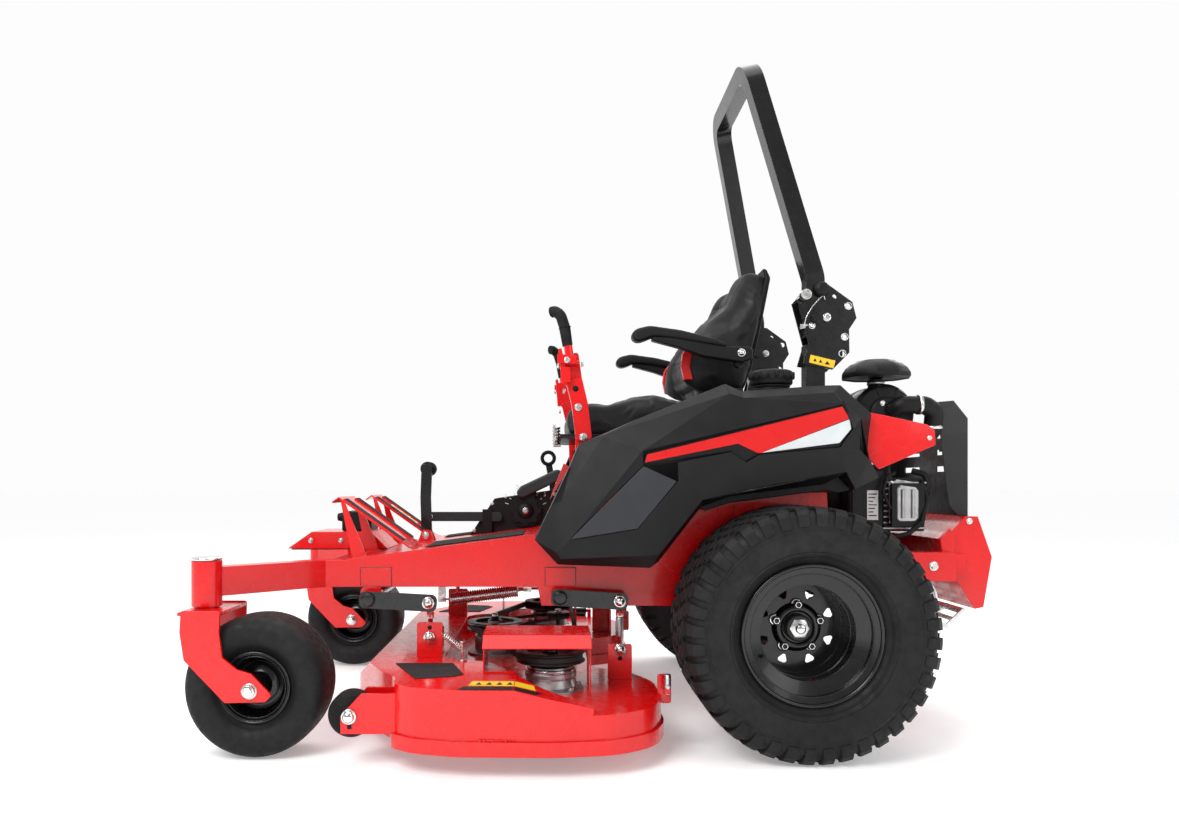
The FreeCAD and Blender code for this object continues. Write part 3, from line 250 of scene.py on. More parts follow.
def build_world():
    """White behind the machine and darker on its near side, so black parts keep their contrast."""
    world = bpy.data.worlds.new("studio")
    world.use_nodes = True
    nodes, links = world.node_tree.nodes, world.node_tree.links
    direction = nodes.new("ShaderNodeSeparateXYZ")
    links.new(nodes.new("ShaderNodeTexCoord").outputs["Generated"], direction.inputs["Vector"])
    level = nodes.new("ShaderNodeMapRange")
    links.new(direction.outputs["Y"], level.inputs["Value"])
    for name, number in zip(("From Min", "From Max", "To Min", "To Max"), (-0.7, 0.35, 0.4, 0.98)):
        level.inputs[name].default_value = number
    backdrop = nodes["Background"]
    backdrop.inputs["Color"].default_value = (1, 1, 1, 1)
    links.new(level.outputs["Result"], backdrop.inputs["Strength"])
    scene.world = world


def build_stage():
    floor_mesh = bpy.data.meshes.new("floor")
    reach = 90
    floor_mesh.from_pydata([(-reach, -reach, 0), (reach, -reach, 0), (reach, reach, 0), (-reach, reach, 0)],
                           [], [(0, 1, 2, 3)])
    floor = bpy.data.objects.new("floor", floor_mesh)
    scene.collection.objects.link(floor)
    floor.location.z = -0.0005
    floor_mesh.materials.append(plain("floor_white", (0.93, 0.93, 0.93), 0.9, Emission_Color=(1, 1, 1, 1),
                                      Emission_Strength=0.28))
    aim = at(-450, 0, 500)
    area_light("key", at(-2600, -3600, 3600), aim, (2.2, 2.2), 170)
    area_light("fill", at(2600, -3400, 2200), aim, (2.5, 2.5), 40)
    area_light("top", at(-400, 600, 4200), aim, (4, 4), 70)
    area_light("rear", at(1500, 3400, 2600), aim, (3, 2), 60)
    scene.view_settings.view_transform = "Standard"


def build_camera():
    """Level, square to the machine's left side, at seat height."""
    data = bpy.data.cameras.new("camera")
    data.sensor_width = 36
    data.lens = 27.57
    data.shift_x = 0.0377
    data.shift_y = 0.0598
    data.clip_end = 200
    camera = bpy.data.objects.new("camera", data)
    camera.location = at(-630, -2800, 660)
    camera.rotation_euler = (math.pi / 2, 0, 0)
    scene.collection.objects.link(camera)
    scene.camera = camera


build_world()
build_stage()
build_camera()

# ---------------------------------------------------------------- mesh tools


def finish_piece(piece, material, body, smooth=True):
    """Gives a new piece its finish and the body it rides on."""
    if material:
        piece.data.materials.append(material)
    if smooth and piece.type == "MESH":
        for face in piece.data.polygons:
            face.use_smooth = True
    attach(piece, body)
    return piece


def modify(piece, kind, **settings):
    modifier = piece.modifiers.new(kind.lower(), kind)
    for key, value in settings.items():
        setattr(modifier, key, value)
    return piece


def edge_round(piece, width_mm, segments=3, angle=35):
    modify(piece, "BEVEL", width=width_mm / 1000, segments=segments, limit_method="ANGLE",
           angle_limit=math.radians(angle), harden_normals=True)
    return piece


def mesh_object(name, points, faces):
    """A mesh from machine-millimetre points."""
    mesh = bpy.data.meshes.new(name)
    mesh.from_pydata([at(*p) for p in points], [], faces)
    mesh.validate()
    piece = bpy.data.objects.new(name, mesh)
    scene.collection.objects.link(piece)
    fix = bmesh.new()
    fix.from_mesh(mesh)
    bmesh.ops.recalc_face_normals(fix, faces=fix.faces)
    fix.to_mesh(mesh)
    fix.free()
    return piece


def place_on(plane, a, b, depth):
    """A point from outline coordinates (a, b) and a depth across them."""
    return {"XZ": (a, depth, b), "XY": (a, b, depth), "YZ": (depth, a, b)}[plane]


def around(a, b, radius, turn):
    """The place at this turn, in radians, on a circle about (a, b)."""
    return a + radius * math.cos(turn), b + radius * math.sin(turn)


def handed(side, profile):
    """A turned profile pointing outward on this side."""
    return [(side * along, radius) for along, radius in profile]


def prism_faces(count):
    faces = [list(range(count)), list(range(count, 2 * count))]
    return faces + [[i, (i + 1) % count, (i + 1) % count + count, i + count] for i in range(count)]


def prism(name, outline, low, high, plane="XZ"):
    """An outline on a plane, carried from one depth to another."""
    points = [place_on(plane, a, b, depth) for depth in (low, high) for a, b in outline]
    return mesh_object(name, points, prism_faces(len(outline)))


def slab(name, outline, low, high, material, body="chassis", plane="XZ", bevel=1.5, holes=()):
    """A flat outline given thickness between two depths, with rounded edges.

    holes are (a, b, radius) cut right through.
    """
    piece = prism(name, outline, low, high, plane)
    for a, b, radius in holes:
        ring = [around(a, b, radius, math.tau * (k + 0.5) / 12) for k in range(12)]
        drill(piece, ring, min(low, high) - 5, max(low, high) + 5, plane)
    if bevel:
        edge_round(piece, bevel)
    return finish_piece(piece, material, body)


def drill(piece, outline, low, high, plane):
    """Cuts an outline through a piece now, and leaves nothing behind."""
    cutter = prism("cutter", outline, low, high, plane)
    modify(piece, "BOOLEAN", operation="DIFFERENCE", solver="EXACT", object=cutter)
    apply_modifiers(piece)
    bpy.data.objects.remove(cutter)


def apply_modifiers(piece):
    """Keeps what the modifiers make, as the piece's own mesh."""
    graph = bpy.context.evaluated_depsgraph_get()
    graph.update()
    made = bpy.data.meshes.new_from_object(piece.evaluated_get(graph))
    old = piece.data
    piece.modifiers.clear()
    piece.data = made
    bpy.data.meshes.remove(old)


AXES = {"X": ((0, 1, 0), (0, 0, 1), (1, 0, 0)), "Y": ((1, 0, 0), (0, 0, 1), (0, 1, 0)),
        "Z": ((1, 0, 0), (0, 1, 0), (0, 0, 1))}


def lathe(name, profile, centre, axis, material, body="chassis", steps=64, bevel=0.0, closed=False):
    """A turned piece from (along, radius) points about an axis through centre, in millimetres."""
    across, up, ahead = (Vector(v) for v in AXES[axis])
    middle_point = Vector(centre)
    points, faces = [], []
    rings = []
    for along, radius in profile:
        start = len(points)
        if radius < 0.01:
            points.append(middle_point + ahead * along)
            rings.append([start] * steps)
            continue
        for k in range(steps):
            turn = math.tau * k / steps
            spoke = across * math.cos(turn) + up * math.sin(turn)
            points.append(middle_point + ahead * along + spoke * radius)
        rings.append(list(range(start, start + steps)))
    pairs = list(zip(rings, rings[1:]))
    if closed:
        pairs.append((rings[-1], rings[0]))
    for ring, following in pairs:
        for k in range(steps):
            corners = [ring[k], ring[(k + 1) % steps], following[(k + 1) % steps], following[k]]
            faces.append(list(dict.fromkeys(corners)))
    piece = mesh_object(name, points, faces)
    if bevel:
        edge_round(piece, bevel)
    return finish_piece(piece, material, body)


BEND_STEPS = 8


def rounded_path(points, bend):
    """Points along straight runs joined by arcs of about this radius."""
    places = [Vector(p) for p in points]
    path = [places[0]]
    for before, here, after in zip(places, places[1:], places[2:]):
        back, ahead = before - here, after - here
        turn = math.pi - back.angle(ahead)
        if turn < 0.02:
            path.append(here)
            continue
        reach = min(bend * math.tan(turn / 2), 0.45 * back.length, 0.45 * ahead.length)
        start, end = here + back.normalized() * reach, here + ahead.normalized() * reach
        for k in range(BEND_STEPS + 1):
            share = k / BEND_STEPS
            path.append(start.lerp(here, share).lerp(here.lerp(end, share), share))
    path.append(places[-1])
    return path


def pipe(name, points, radius, material, body="chassis", bend=0.0, sides=16, radii=None):
    """A round bar along a path."""
    path = rounded_path(points, bend) if bend else [Vector(p) for p in points]
    rings, verts = [], []
    normal = None
    for i, here in enumerate(path):
        ahead = (path[min(i + 1, len(path) - 1)] - path[max(i - 1, 0)]).normalized()
        if normal is None:
            normal = ahead.orthogonal().normalized()
        normal = (normal - ahead * normal.dot(ahead)).normalized()
        other = ahead.cross(normal)
        size = radii[min(i, len(radii) - 1)] if radii else radius
        rings.append(range(len(verts), len(verts) + sides))
        turns = [math.tau * k / sides for k in range(sides)]
        verts += [here + (normal * math.cos(turn) + other * math.sin(turn)) * size for turn in turns]
    faces = [[a[k], a[(k + 1) % sides], b[(k + 1) % sides], b[k]]
             for a, b in zip(rings, rings[1:]) for k in range(sides)]
    piece = mesh_object(name, verts, [*faces, list(rings[0]), list(rings[-1])])
    edge_round(piece, min(1.5, radius * 0.2), 2, 60)
    return finish_piece(piece, material, body)


def flat_run(outline, wide):
    """A strap's outline of constant width along a path in a plane."""
    path = [Vector((*p, 0)) for p in outline]
    left, right = [], []
    for i, here in enumerate(path):
        into = (here - path[i - 1]).normalized() if i else None
        out = (path[i + 1] - here).normalized() if i + 1 < len(path) else None
        mean = (into or out) + (out or into)
        side = Vector((-mean.y, mean.x, 0)).normalized()
        ahead = out or into
        half = wide / 2 / max(0.3, side.dot(Vector((-ahead.y, ahead.x, 0))))
        left.append(here + side * half)
        right.append(here - side * half)
    return [(p.x, p.y) for p in left + right[::-1]]


def bolt(name, place, axis, outward, size, body="chassis", material=None, round_head=False):
    """A hex or domed bolt head on its washer, standing out along an axis."""
    material = material or ZINC
    thick = size * 0.18
    washer = [(0, 0), (0, size * 1.2), (thick * 0.7, size * 1.3), (thick, size * 1.15), (thick, 0)]
    lathe(name + "_washer", handed(outward, washer), place, axis, material, body, 32)
    if round_head:
        head = [(0, 1), (0.35, 0.96), (0.62, 0.72), (0.75, 0.35), (0.78, 0)]
    else:
        head = [(0, 0), (0, 1), (0.6, 1), (0.72, 0.82), (0.72, 0)]
    profile = handed(outward, [(thick + rise * size, radius * size) for rise, radius in head])
    return lathe(name, profile, place, axis, material, body, *((32,) if round_head else (6, size * 0.06)))


# ---------------------------------------------------------------- rear wheels

AXLE_Z, WHEEL_Y = 305, 560
TREAD_ROWS = 40


def swept_block(section, start, end, slant, radius_axis):
    """Corner points of a block made by turning (across, radius) points between two angles."""
    corners = []
    for turn in (start, end):
        for across, radius in section:
            angle = turn + slant * across
            corners.append((radius * math.cos(angle), across, radius * math.sin(angle) + radius_axis))
    return corners


def blocks_mesh(name, blocks, side, centre_y):
    """One mesh of many blocks, mirrored to its side."""
    points, faces = [], []
    for corners in blocks:
        first, count = len(points), len(corners) // 2
        points += [(x, centre_y + side * across, z) for x, across, z in corners]
        faces += [[first + corner for corner in face] for face in prism_faces(count)]
    return mesh_object(name, points, faces)


def rear_tyre(side, hand):
    """A carcass with ribbed sidewalls and staggered turf blocks."""
    body = f"{hand}_rear_wheel"
    centre_y = side * WHEEL_Y
    outer = [(88, 153), (108, 153), (111, 168), (117, 180), (126, 187), (131, 189), (134, 193), (139, 206),
             (145, 226), (148, 246), (146, 262), (142, 274), (134, 285), (120, 293), (95, 297), (50, 298.5),
             (0, 299)]
    profile = [(-a, r) for a, r in outer] + [(a, r) for a, r in reversed(outer[:-1])]
    carcass = lathe(f"{hand}_tyre_carcass", profile, (0, centre_y, AXLE_Z), "Y", RUBBER, body, 120,
                    closed=True)
    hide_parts(f"{hand}_rear_tyre")
    pitch = math.tau / TREAD_ROWS
    shoulder = [(112, 304.5), (131, 300), (144, 288), (149.5, 268), (148, 258), (143, 262), (138, 280),
                (112, 294)]
    blocks = []
    for n in range(TREAD_ROWS):
        for hand_side in (1, -1):
            section = [(hand_side * a, r) for a, r in shoulder]
            start = n * pitch + (0 if hand_side > 0 else pitch / 2)
            blocks.append(swept_block(section, start, start + pitch * 0.62, hand_side * 0.0004, AXLE_Z))
        for row, (low, high) in enumerate(((-104, -78), (-70, -42), (-34, -4), (4, 34), (42, 70), (78, 104))):
            section = [(low, 296), (low, 304.8), (high, 304.8), (high, 296)]
            start = n * pitch + (row % 2) * pitch / 2 + 0.1 * pitch
            lean = 0.0012 if row % 2 else -0.0012
            blocks.append(swept_block(section, start, start + pitch * 0.72, lean, AXLE_Z))
    tread = blocks_mesh(f"{hand}_tyre_tread", blocks, side, centre_y)
    edge_round(tread, 1.6, 2)
    finish_piece(tread, RUBBER, body, smooth=False)
    for n, (depth, radius) in enumerate(((137.2, 196), (148.6, 252))):
        rib = [(depth - 3, radius - 3), (depth + 0.8, radius - 1), (depth + 0.8, radius + 1),
               (depth - 3, radius + 3)]
        lathe(f"{hand}_sidewall_rib_{n}", handed(side, rib), (0, centre_y, AXLE_Z), "Y", RUBBER, body, 120)


def rear_rim(side, hand):
    """Dresses the CAD wheel: rolled flange, step rings, lug nuts, hub and valve."""
    body = f"{hand}_rear_wheel"
    centre = (0, side * WHEEL_Y, AXLE_Z)
    flange = [(118, 170.5), (121, 169), (122, 166), (121, 162.5), (117, 160), (113, 160), (113, 170)]
    lathe(f"{hand}_rim_flange", handed(side, flange), centre, "Y", BLACK, body, 120, closed=True)
    for n, (depth, radius) in enumerate(((109, 148), (84, 147.8), (76, 131), (40, 116))):
        section = [around(depth, radius - 1, 2.4, math.tau * k / 8) for k in range(8)]
        lathe(f"{hand}_rim_step_{n}", handed(side, section), centre, "Y", BLACK, body, 120, closed=True)
    dish = [(-26, 62), (-14, 58), (-8, 52), (-8, 40), (-22, 36), (-22, 22)]
    lathe(f"{hand}_hub_dish", handed(side, dish), centre, "Y", BLACK, body, 64)
    hub = [(-30, 34), (2, 34), (6, 30), (6, 21), (-4, 21)]
    lathe(f"{hand}_hub_sleeve", handed(side, hub), centre, "Y", SATIN, body, 48, bevel=1)
    for n in range(5):
        turn = math.radians(72 * n + 90)
        x, z = around(0, AXLE_Z, 57.15, turn)
        seat = [(-26, 15), (-22, 15), (-20, 12.5), (-20, 9)]
        lathe(f"{hand}_lug_seat_{n}", handed(side, seat), (x, side * WHEEL_Y, z), "Y", STEEL, body, 32)
        nut = [(-21, 10.2), (-6, 10.2), (-2, 8.6), (-2, 6.2), (-12, 6)]
        lathe(f"{hand}_lug_nut_{n}", handed(side, nut), (x, side * WHEEL_Y, z), "Y", STEEL, body, 6,
              bevel=0.7)
        lathe(f"{hand}_lug_stud_{n}", handed(side, [(-14, 6), (-5, 5.6), (-4, 5), (-4, 0)]),
              (x, side * WHEEL_Y, z), "Y", SATIN, body, 24)
    turn = math.radians(206)
    foot = Vector((128 * math.cos(turn), side * (WHEEL_Y + 60), AXLE_Z + 128 * math.sin(turn)))
    tip = foot + Vector((-8 * math.cos(turn), side * 34, -8 * math.sin(turn)))
    pipe(f"{hand}_valve", [foot, tip], 4.5, PLASTIC, body)


def axle_end(side, hand):
    """The fixed castle nut on the axle's end, with its pin."""
    face = side * (WHEEL_Y + 2)
    lathe(f"{hand}_axle_castle", handed(side, [(0, 27), (6, 26), (8, 22), (8, 0)]), (0, face, AXLE_Z), "Y",
          ZINC, steps=6, bevel=1)
    lathe(f"{hand}_axle_stub", handed(side, [(0, 12), (18, 12), (20, 10), (20, 0)]), (0, face, AXLE_Z), "Y",
          STEEL, steps=32)


for side, hand in SIDES:
    rear_tyre(side, hand)
    rear_rim(side, hand)
    axle_end(side, hand)

# ---------------------------------------------------------------- casters

CASTER_X, CASTER_Y, CASTER_Z = -1330, 565, 172


def caster(side, hand):
    """A smooth front tyre on its pressed rim, with the fork's axle bolts and cap."""
    wheel, fork = f"{hand}_caster_wheel", f"{hand}_caster_fork_body"
    centre = (CASTER_X, side * CASTER_Y, CASTER_Z)
    outer = [(55, 77), (56, 90), (60, 96), (66, 99), (72, 105), (78, 116), (81.6, 130), (82, 142), (79, 154),
             (71, 163), (58, 168.4), (36, 171), (0, 171.8)]
    profile = [(-a, r) for a, r in outer] + [(a, r) for a, r in reversed(outer[:-1])]
    tyre = lathe(f"{hand}_caster_rubber", profile, centre, "Y", RUBBER, wheel, 96, closed=True)
    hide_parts(f"{hand}_caster_tyre")
    for end in (-1, 1):
        rings = [(62, 87), (64.5, 86), (64.5, 83), (60, 80), (56, 79), (52, 71), (48, 70), (22, 64), (19, 60),
                 (19, 32), (24, 28), (60, 26), (86, 25), (88, 23), (88, 11)]
        lathe(f"{hand}_caster_rim_{end}", handed(end, rings), centre, "Y", BLACK, wheel, 96)
        for depth, radius in ((57, 74), (22, 58), (22, 46)):
            loop = [around(depth, radius, 2, math.tau * k / 8) for k in range(8)]
            lathe(f"{hand}_caster_ring_{end}_{radius}", handed(end, loop), centre, "Y", BLACK, wheel, 96,
                  closed=True)
        bolt(f"{hand}_caster_bolt_{end}", (CASTER_X, side * CASTER_Y + end * 109, CASTER_Z), "Y", end, 12,
             fork, STEEL)
        lathe(f"{hand}_fork_washer_{end}", handed(end, [(0, 19), (2.5, 19), (3, 17), (3, 12)]),
              (CASTER_X, side * CASTER_Y + end * 100.2, CASTER_Z), "Y", ZINC, fork, 40)
    cap = [(0, 34.5), (2, 36.4), (6, 36.4), (8, 34), (8.4, 20), (8.6, 0)]
    lathe(f"{hand}_kingpin_cap_trim", cap, (-1467, side * CASTER_Y, 474), "Z", STEEL, fork, 64)


for side, hand in SIDES:
    caster(side, hand)

# ---------------------------------------------------------------- side covers

RIM_LINE = [(-656, 520), (-598, 458), (-363, 449), (-341, 466), (-232, 606), (-161, 633), (84, 664),
            (112, 688), (151, 646), (219, 679), (184, 731), (200, 840), (121, 914), (72, 913), (-130, 898),
            (-173, 917), (-399, 826), (-543, 764), (-565, 712), (-614, 608)]
FACE_POINTS = {
    "nose_low": (-601, 490, 536), "nose_mid": (-588, 620, 520), "nose_top": (-482, 786, 522),
    "crown": (-166, 890, 528), "crown_dip": (-130, 879, 530), "crown_rear": (98, 893, 528),
    "shoulder": (166, 828, 528), "hip": (158, 749, 540), "tail": (188, 724, 526),
    "valley": (-387, 745, 552), "fold": (-568, 523, 544), "panel_low": (-399, 550, 549),
    "panel_rear": (-298, 670, 556), "sill": (-345, 484, 540), "sill_front": (-590, 474, 538),
    "arch": (-236, 622, 544), "arch_mid": (-57, 661, 544), "arch_rear": (124, 692, 540),
    "tip": (153, 650, 520),
    "ridge": (-300, 716, 558), "ridge_top": (-167, 742, 556), "notch": (-130, 716, 556),
    "notch_rear": (-96, 735, 556), "badge_rear": (106, 754, 552), "badge_corner": (140, 800, 550),
    "badge_top": (115, 862, 548), "panel_top": (-384, 710, 550),
}
FACETS = [
    ("nose_low", "nose_mid", "nose_top", "valley", "fold"),
    ("nose_low", "fold", "panel_low", "sill", "sill_front"),
    ("panel_low", "panel_rear", "arch", "sill"),
    ("valley", "panel_top", "fold"),
    ("nose_top", "crown", "valley"),
    ("crown", "crown_dip", "badge_top", "valley"),
    ("crown_dip", "crown_rear", "badge_top"),
    ("crown_rear", "shoulder", "badge_corner", "badge_top"),
    ("shoulder", "hip", "badge_rear", "badge_corner"),
    ("hip", "tail", "tip", "arch_rear"),
    ("panel_rear", "ridge", "ridge_top", "notch", "arch_mid", "arch"),
    ("notch", "notch_rear", "badge_rear", "hip", "arch_rear", "arch_mid"),
]
RIM_TO_FACE = {0: "nose_low", 1: "sill_front", 2: "sill", 3: "sill", 4: "arch", 5: "arch", 6: "arch_rear",
               7: "arch_rear", 8: "tip", 9: "tail", 10: "tail", 11: "shoulder", 12: "crown_rear",
               13: "crown_rear", 14: "crown_dip", 15: "crown", 16: "nose_top", 17: "nose_top", 18: "nose_mid",
               19: "nose_mid"}
BADGE = [(-384, 712), (-376, 739), (115, 860), (138, 800), (106, 756), (-96, 737), (-130, 718), (-167, 744)]
BADGE_BACK = [(-396, 706), (-384, 748), (120, 872), (150, 800), (112, 746), (-98, 727), (-132, 708),
              (-167, 733)]
BADGE_RED = [(-381, 716), (-375, 736), (112, 856), (130, 826), (-92, 739), (-98, 739), (-148, 763)]
BADGE_SILVER = [(-90, 740), (130, 824), (134, 800), (105, 765)]


def side_cover(side, hand):
    """The faceted moulding over the wheel, with its recessed badge, grey insert and reflector."""
    rim_depth, back_depth = 505, 366
    names = list(FACE_POINTS)
    points = [(x, side * depth, z) for x, z, depth in FACE_POINTS.values()]
    rim_start = len(points)
    points += [(x, side * rim_depth, z) for x, z in RIM_LINE]
    back_start = len(points)
    points += [(x, side * back_depth, z) for x, z in RIM_LINE]
    index = {name: n for n, name in enumerate(names)}
    faces = [[index[name] for name in facet] for facet in FACETS]
    count = len(RIM_LINE)
    for n in range(count):
        following = (n + 1) % count
        inner, inner_next = index[RIM_TO_FACE[n]], index[RIM_TO_FACE[following]]
        strip = [rim_start + n, rim_start + following, inner_next, inner]
        faces.append(list(dict.fromkeys(strip)))
        faces.append([rim_start + n, back_start + n, back_start + following, rim_start + following])
    shell = mesh_object(f"{hand}_side_cover", points, faces)
    mesh = bmesh.new()
    mesh.from_mesh(shell.data)
    bmesh.ops.triangulate(mesh, faces=[f for f in mesh.faces if len(f.verts) > 4])
    mesh.to_mesh(shell.data)
    mesh.free()
    modify(shell, "SOLIDIFY", thickness=0.004, offset=-1)
    edge_round(shell, 5, 3, 8)
    finish_piece(shell, COVER, "chassis")
    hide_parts(f"{hand}_fender")
    floor_y = side * 545
    slab(f"{hand}_badge_back", BADGE_BACK, side * 530, side * 536.5, PLASTIC, bevel=0.5)
    slab(f"{hand}_badge_bed", BADGE, side * 536, floor_y, PLASTIC, bevel=1)
    slab(f"{hand}_badge_red", BADGE_RED, floor_y, side * 547, RED_MOULDED, bevel=0.6)
    slab(f"{hand}_badge_silver", BADGE_SILVER, floor_y, side * 547, SILVER, bevel=0.6)
    insert = [(-566, 524), (-384, 707), (-301, 669), (-399, 551)]
    slab(f"{hand}_insert", insert, side * 540, side * 551.5, INSERT, bevel=2)
    reflector = [(-583, 715), (-568, 706), (-598, 655), (-618, 622), (-612, 640)]
    slab(f"{hand}_reflector", reflector, side * 508, side * 516, REFLECTOR, bevel=1.5)
    lip = [(-232, 606), (-161, 633), (84, 664), (112, 688), (150, 648), (118, 640), (84, 646), (-161, 614),
           (-222, 594)]
    slab(f"{hand}_lower_lip", lip, side * 380, side * 500, PLASTIC, bevel=3)
    guard = [(-340, 466), (-232, 606), (-161, 633), (84, 664), (84, 560), (60, 478), (-150, 478), (-250, 400)]
    slab(f"{hand}_inner_guard", guard, side * 364, side * 368, RED, bevel=0.8,
         holes=[(-200, 590, 3), (-165, 595, 3), (-160, 575, 3), (-215, 560, 5), (-120, 600, 4)])


def fuel_cap(side, hand):
    """A ribbed twist cap on its ringed neck."""
    centre = (-36, side * 430, 0)
    neck = [(896, 47), (908, 47), (910, 44), (914, 44), (916, 48), (920, 48), (921, 42), (921, 30)]
    lathe(f"{hand}_neck_trim", neck, centre, "Z", PLASTIC, steps=64)
    profile = [(922, 40), (922, 52), (926, 54), (934, 54), (936, 56.5), (950, 56.5), (956, 53), (959.5, 47),
               (959.5, 0)]
    cap = lathe(f"{hand}_cap_shell", profile, centre, "Z", PLASTIC, f"{hand}_cap", 64)
    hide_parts(f"{hand}_fuel_cap")
    for n in range(16):
        turn = math.tau * n / 16
        x, y = around(-36, side * 430, 56, turn)
        lathe(f"{hand}_cap_rib_{n}", [(937, 0), (937, 4), (952, 4), (954, 2), (954, 0)], (x, y, 0), "Z",
              PLASTIC, f"{hand}_cap", 10)


for side, hand in SIDES:
    side_cover(side, hand)
    fuel_cap(side, hand)

# ---------------------------------------------------------------- seat


def outline_solid(name, outline, low, high, round_mm):
    """A prism with heavily rounded edges, ready to be remeshed."""
    return edge_round(prism(name, outline, low, high), round_mm, 4, 20)


CLOTH_PRESSURE = 4.0
CLOTH_FRAMES = 20


def inflate(piece, cap_mm):
    """Cloth under air pressure, run once and kept, with each point's travel capped."""
    rest = [v.co.copy() for v in piece.data.vertices]
    cloth = piece.modifiers.new("cloth", "CLOTH")
    cloth.settings.quality = 5
    cloth.settings.mass = 0.3
    cloth.settings.tension_stiffness = 15
    cloth.settings.compression_stiffness = 15
    cloth.settings.bending_stiffness = 1.5
    cloth.settings.use_pressure = True
    cloth.settings.uniform_pressure_force = CLOTH_PRESSURE
    cloth.settings.effector_weights.gravity = 0
    cloth.point_cache.frame_start, cloth.point_cache.frame_end = 1, CLOTH_FRAMES
    for number in range(1, CLOTH_FRAMES + 1):
        scene.frame_set(number)
    graph = bpy.context.evaluated_depsgraph_get()
    posed = [v.co.copy() for v in piece.evaluated_get(graph).data.vertices]
    piece.modifiers.clear()
    for vertex, before, after in zip(piece.data.vertices, rest, posed):
        step = after - before
        if step.length > cap_mm / 1000:
            step *= cap_mm / 1000 / step.length
        vertex.co = before + step
    scene.frame_set(1)


def groove(value, centre, width):
    """1 on a seam's line, falling smoothly to 0 beside it."""
    return math.exp(-((value - centre) / width) ** 2)


def cushion(name, outline, half_width, node, body, round_mm, shape):
    """A foam pad: rounded, remeshed, swelled as cloth, then sewn by moving its points."""
    pad = outline_solid(name, outline, -half_width, half_width, round_mm)
    modify(pad, "REMESH", mode="VOXEL", voxel_size=0.006, use_smooth_shade=True)
    modify(pad, "SMOOTH", factor=0.5, iterations=8)
    apply_modifiers(pad)
    inflate(pad, 9)
    for vertex in pad.data.vertices:
        place = (vertex.co - ORIGIN) * 1000
        vertex.co = at(*shape(place))
    modify(pad, "SUBSURF", levels=1, render_levels=1)
    finish_piece(pad, VINYL, body)
    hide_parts(node)
    return pad


def shape_seat(place):
    """Side bolsters, a sunk middle and sewn channels on the seat's top."""
    x, y, z = place
    if z > 860:
        rise = min(1, (z - 860) / 25)
        bolster = 1 / (1 + math.exp(-(abs(y) - 150) / 14))
        z += rise * (4 * bolster - 15 * (1 - bolster))
        z -= rise * 5 * groove(abs(y), 146, 5)
        if abs(y) < 142:
            z -= rise * sum(3.5 * groove(x, line, 5) for line in (-470, -380, -290, -200))
    front = max(0, (-480 - x) / 110)
    y *= 1 - 0.05 * front
    return x, y, max(z, 799.5)


def shape_back(place):
    """Shoulder taper, wings either side of a sunk panel, and its seams."""
    x, y, z = place
    share = max(0, min(1, (z - 930) / 370))
    y *= 1 + 0.04 * math.sin(share * math.pi) - 0.2 * max(0, share - 0.45) / 0.55
    front_line = -225 + 160 * share
    if x < front_line + 70:
        wing = 1 / (1 + math.exp(-(abs(y) - 135 + 30 * share) / 13))
        depth = min(1, (front_line + 70 - x) / 60)
        x += depth * (30 * (1 - wing))
        x += depth * 5 * groove(abs(y), 132 - 30 * share, 4.5)
        if abs(y) < 125:
            x += depth * sum(3.5 * groove(z, line, 5) for line in (985, 1045, 1105, 1165, 1225))
    return x, y, z


SEAT_SIDE = [(-560, 803), (-574, 820), (-576, 862), (-556, 884), (-505, 889), (-455, 890), (-375, 908),
             (-310, 914), (-240, 900), (-150, 886), (-133, 860), (-134, 806)]
BACK_SIDE = [(-28, 1292), (4, 1282), (18, 1260), (0, 1165), (-38, 1000), (-62, 938), (-198, 938), (-240, 962),
             (-230, 1034), (-196, 1090), (-158, 1138), (-106, 1180), (-78, 1240), (-50, 1284)]


def seat():
    """Both pads, the back's shell and the fittings between them."""
    cushion("seat_cushion_pad", SEAT_SIDE, 202, "seat_cushion", "seat_base", 26, shape_seat)
    cushion("seat_back_pad", BACK_SIDE, 200, "seat_back", "backrest", 24, shape_back)
    shell = [(-66, 932), (-52, 940), (-30, 996), (6, 1160), (26, 1262), (14, 1288), (2, 1290), (10, 1262),
             (-12, 1160), (-46, 1000), (-72, 944)]
    slab("seat_back_shell", shell, -178, 178, PLASTIC, "backrest", bevel=6)
    slab("seat_back_bracket", [(-112, 836), (-62, 836), (-58, 940), (-118, 940)], -198, 198, SATIN,
         "backrest", bevel=3)
    pipe("seat_back_pivot", [(-84, -222, 846), (-84, 222, 846)], 8, ZINC, "backrest")
    slab("seat_underpan", [(-586, 793), (-588, 806), (-118, 806), (-116, 793)], -219, 219, PLASTIC,
         "seat_base", bevel=3)
    for side in (-1, 1):
        red = [(-232, 962), (-240, 1000), (-236, 1036), (-220, 1058), (-206, 1052), (-214, 1000), (-206, 962)]
        slab(f"seat_side_red_{side}", red, side * 196, side * 212, RED_MOULDED, "backrest", bevel=3)
        bolt(f"seat_pivot_{side}", (-84, side * 222, 846), "Y", side, 9, "backrest")


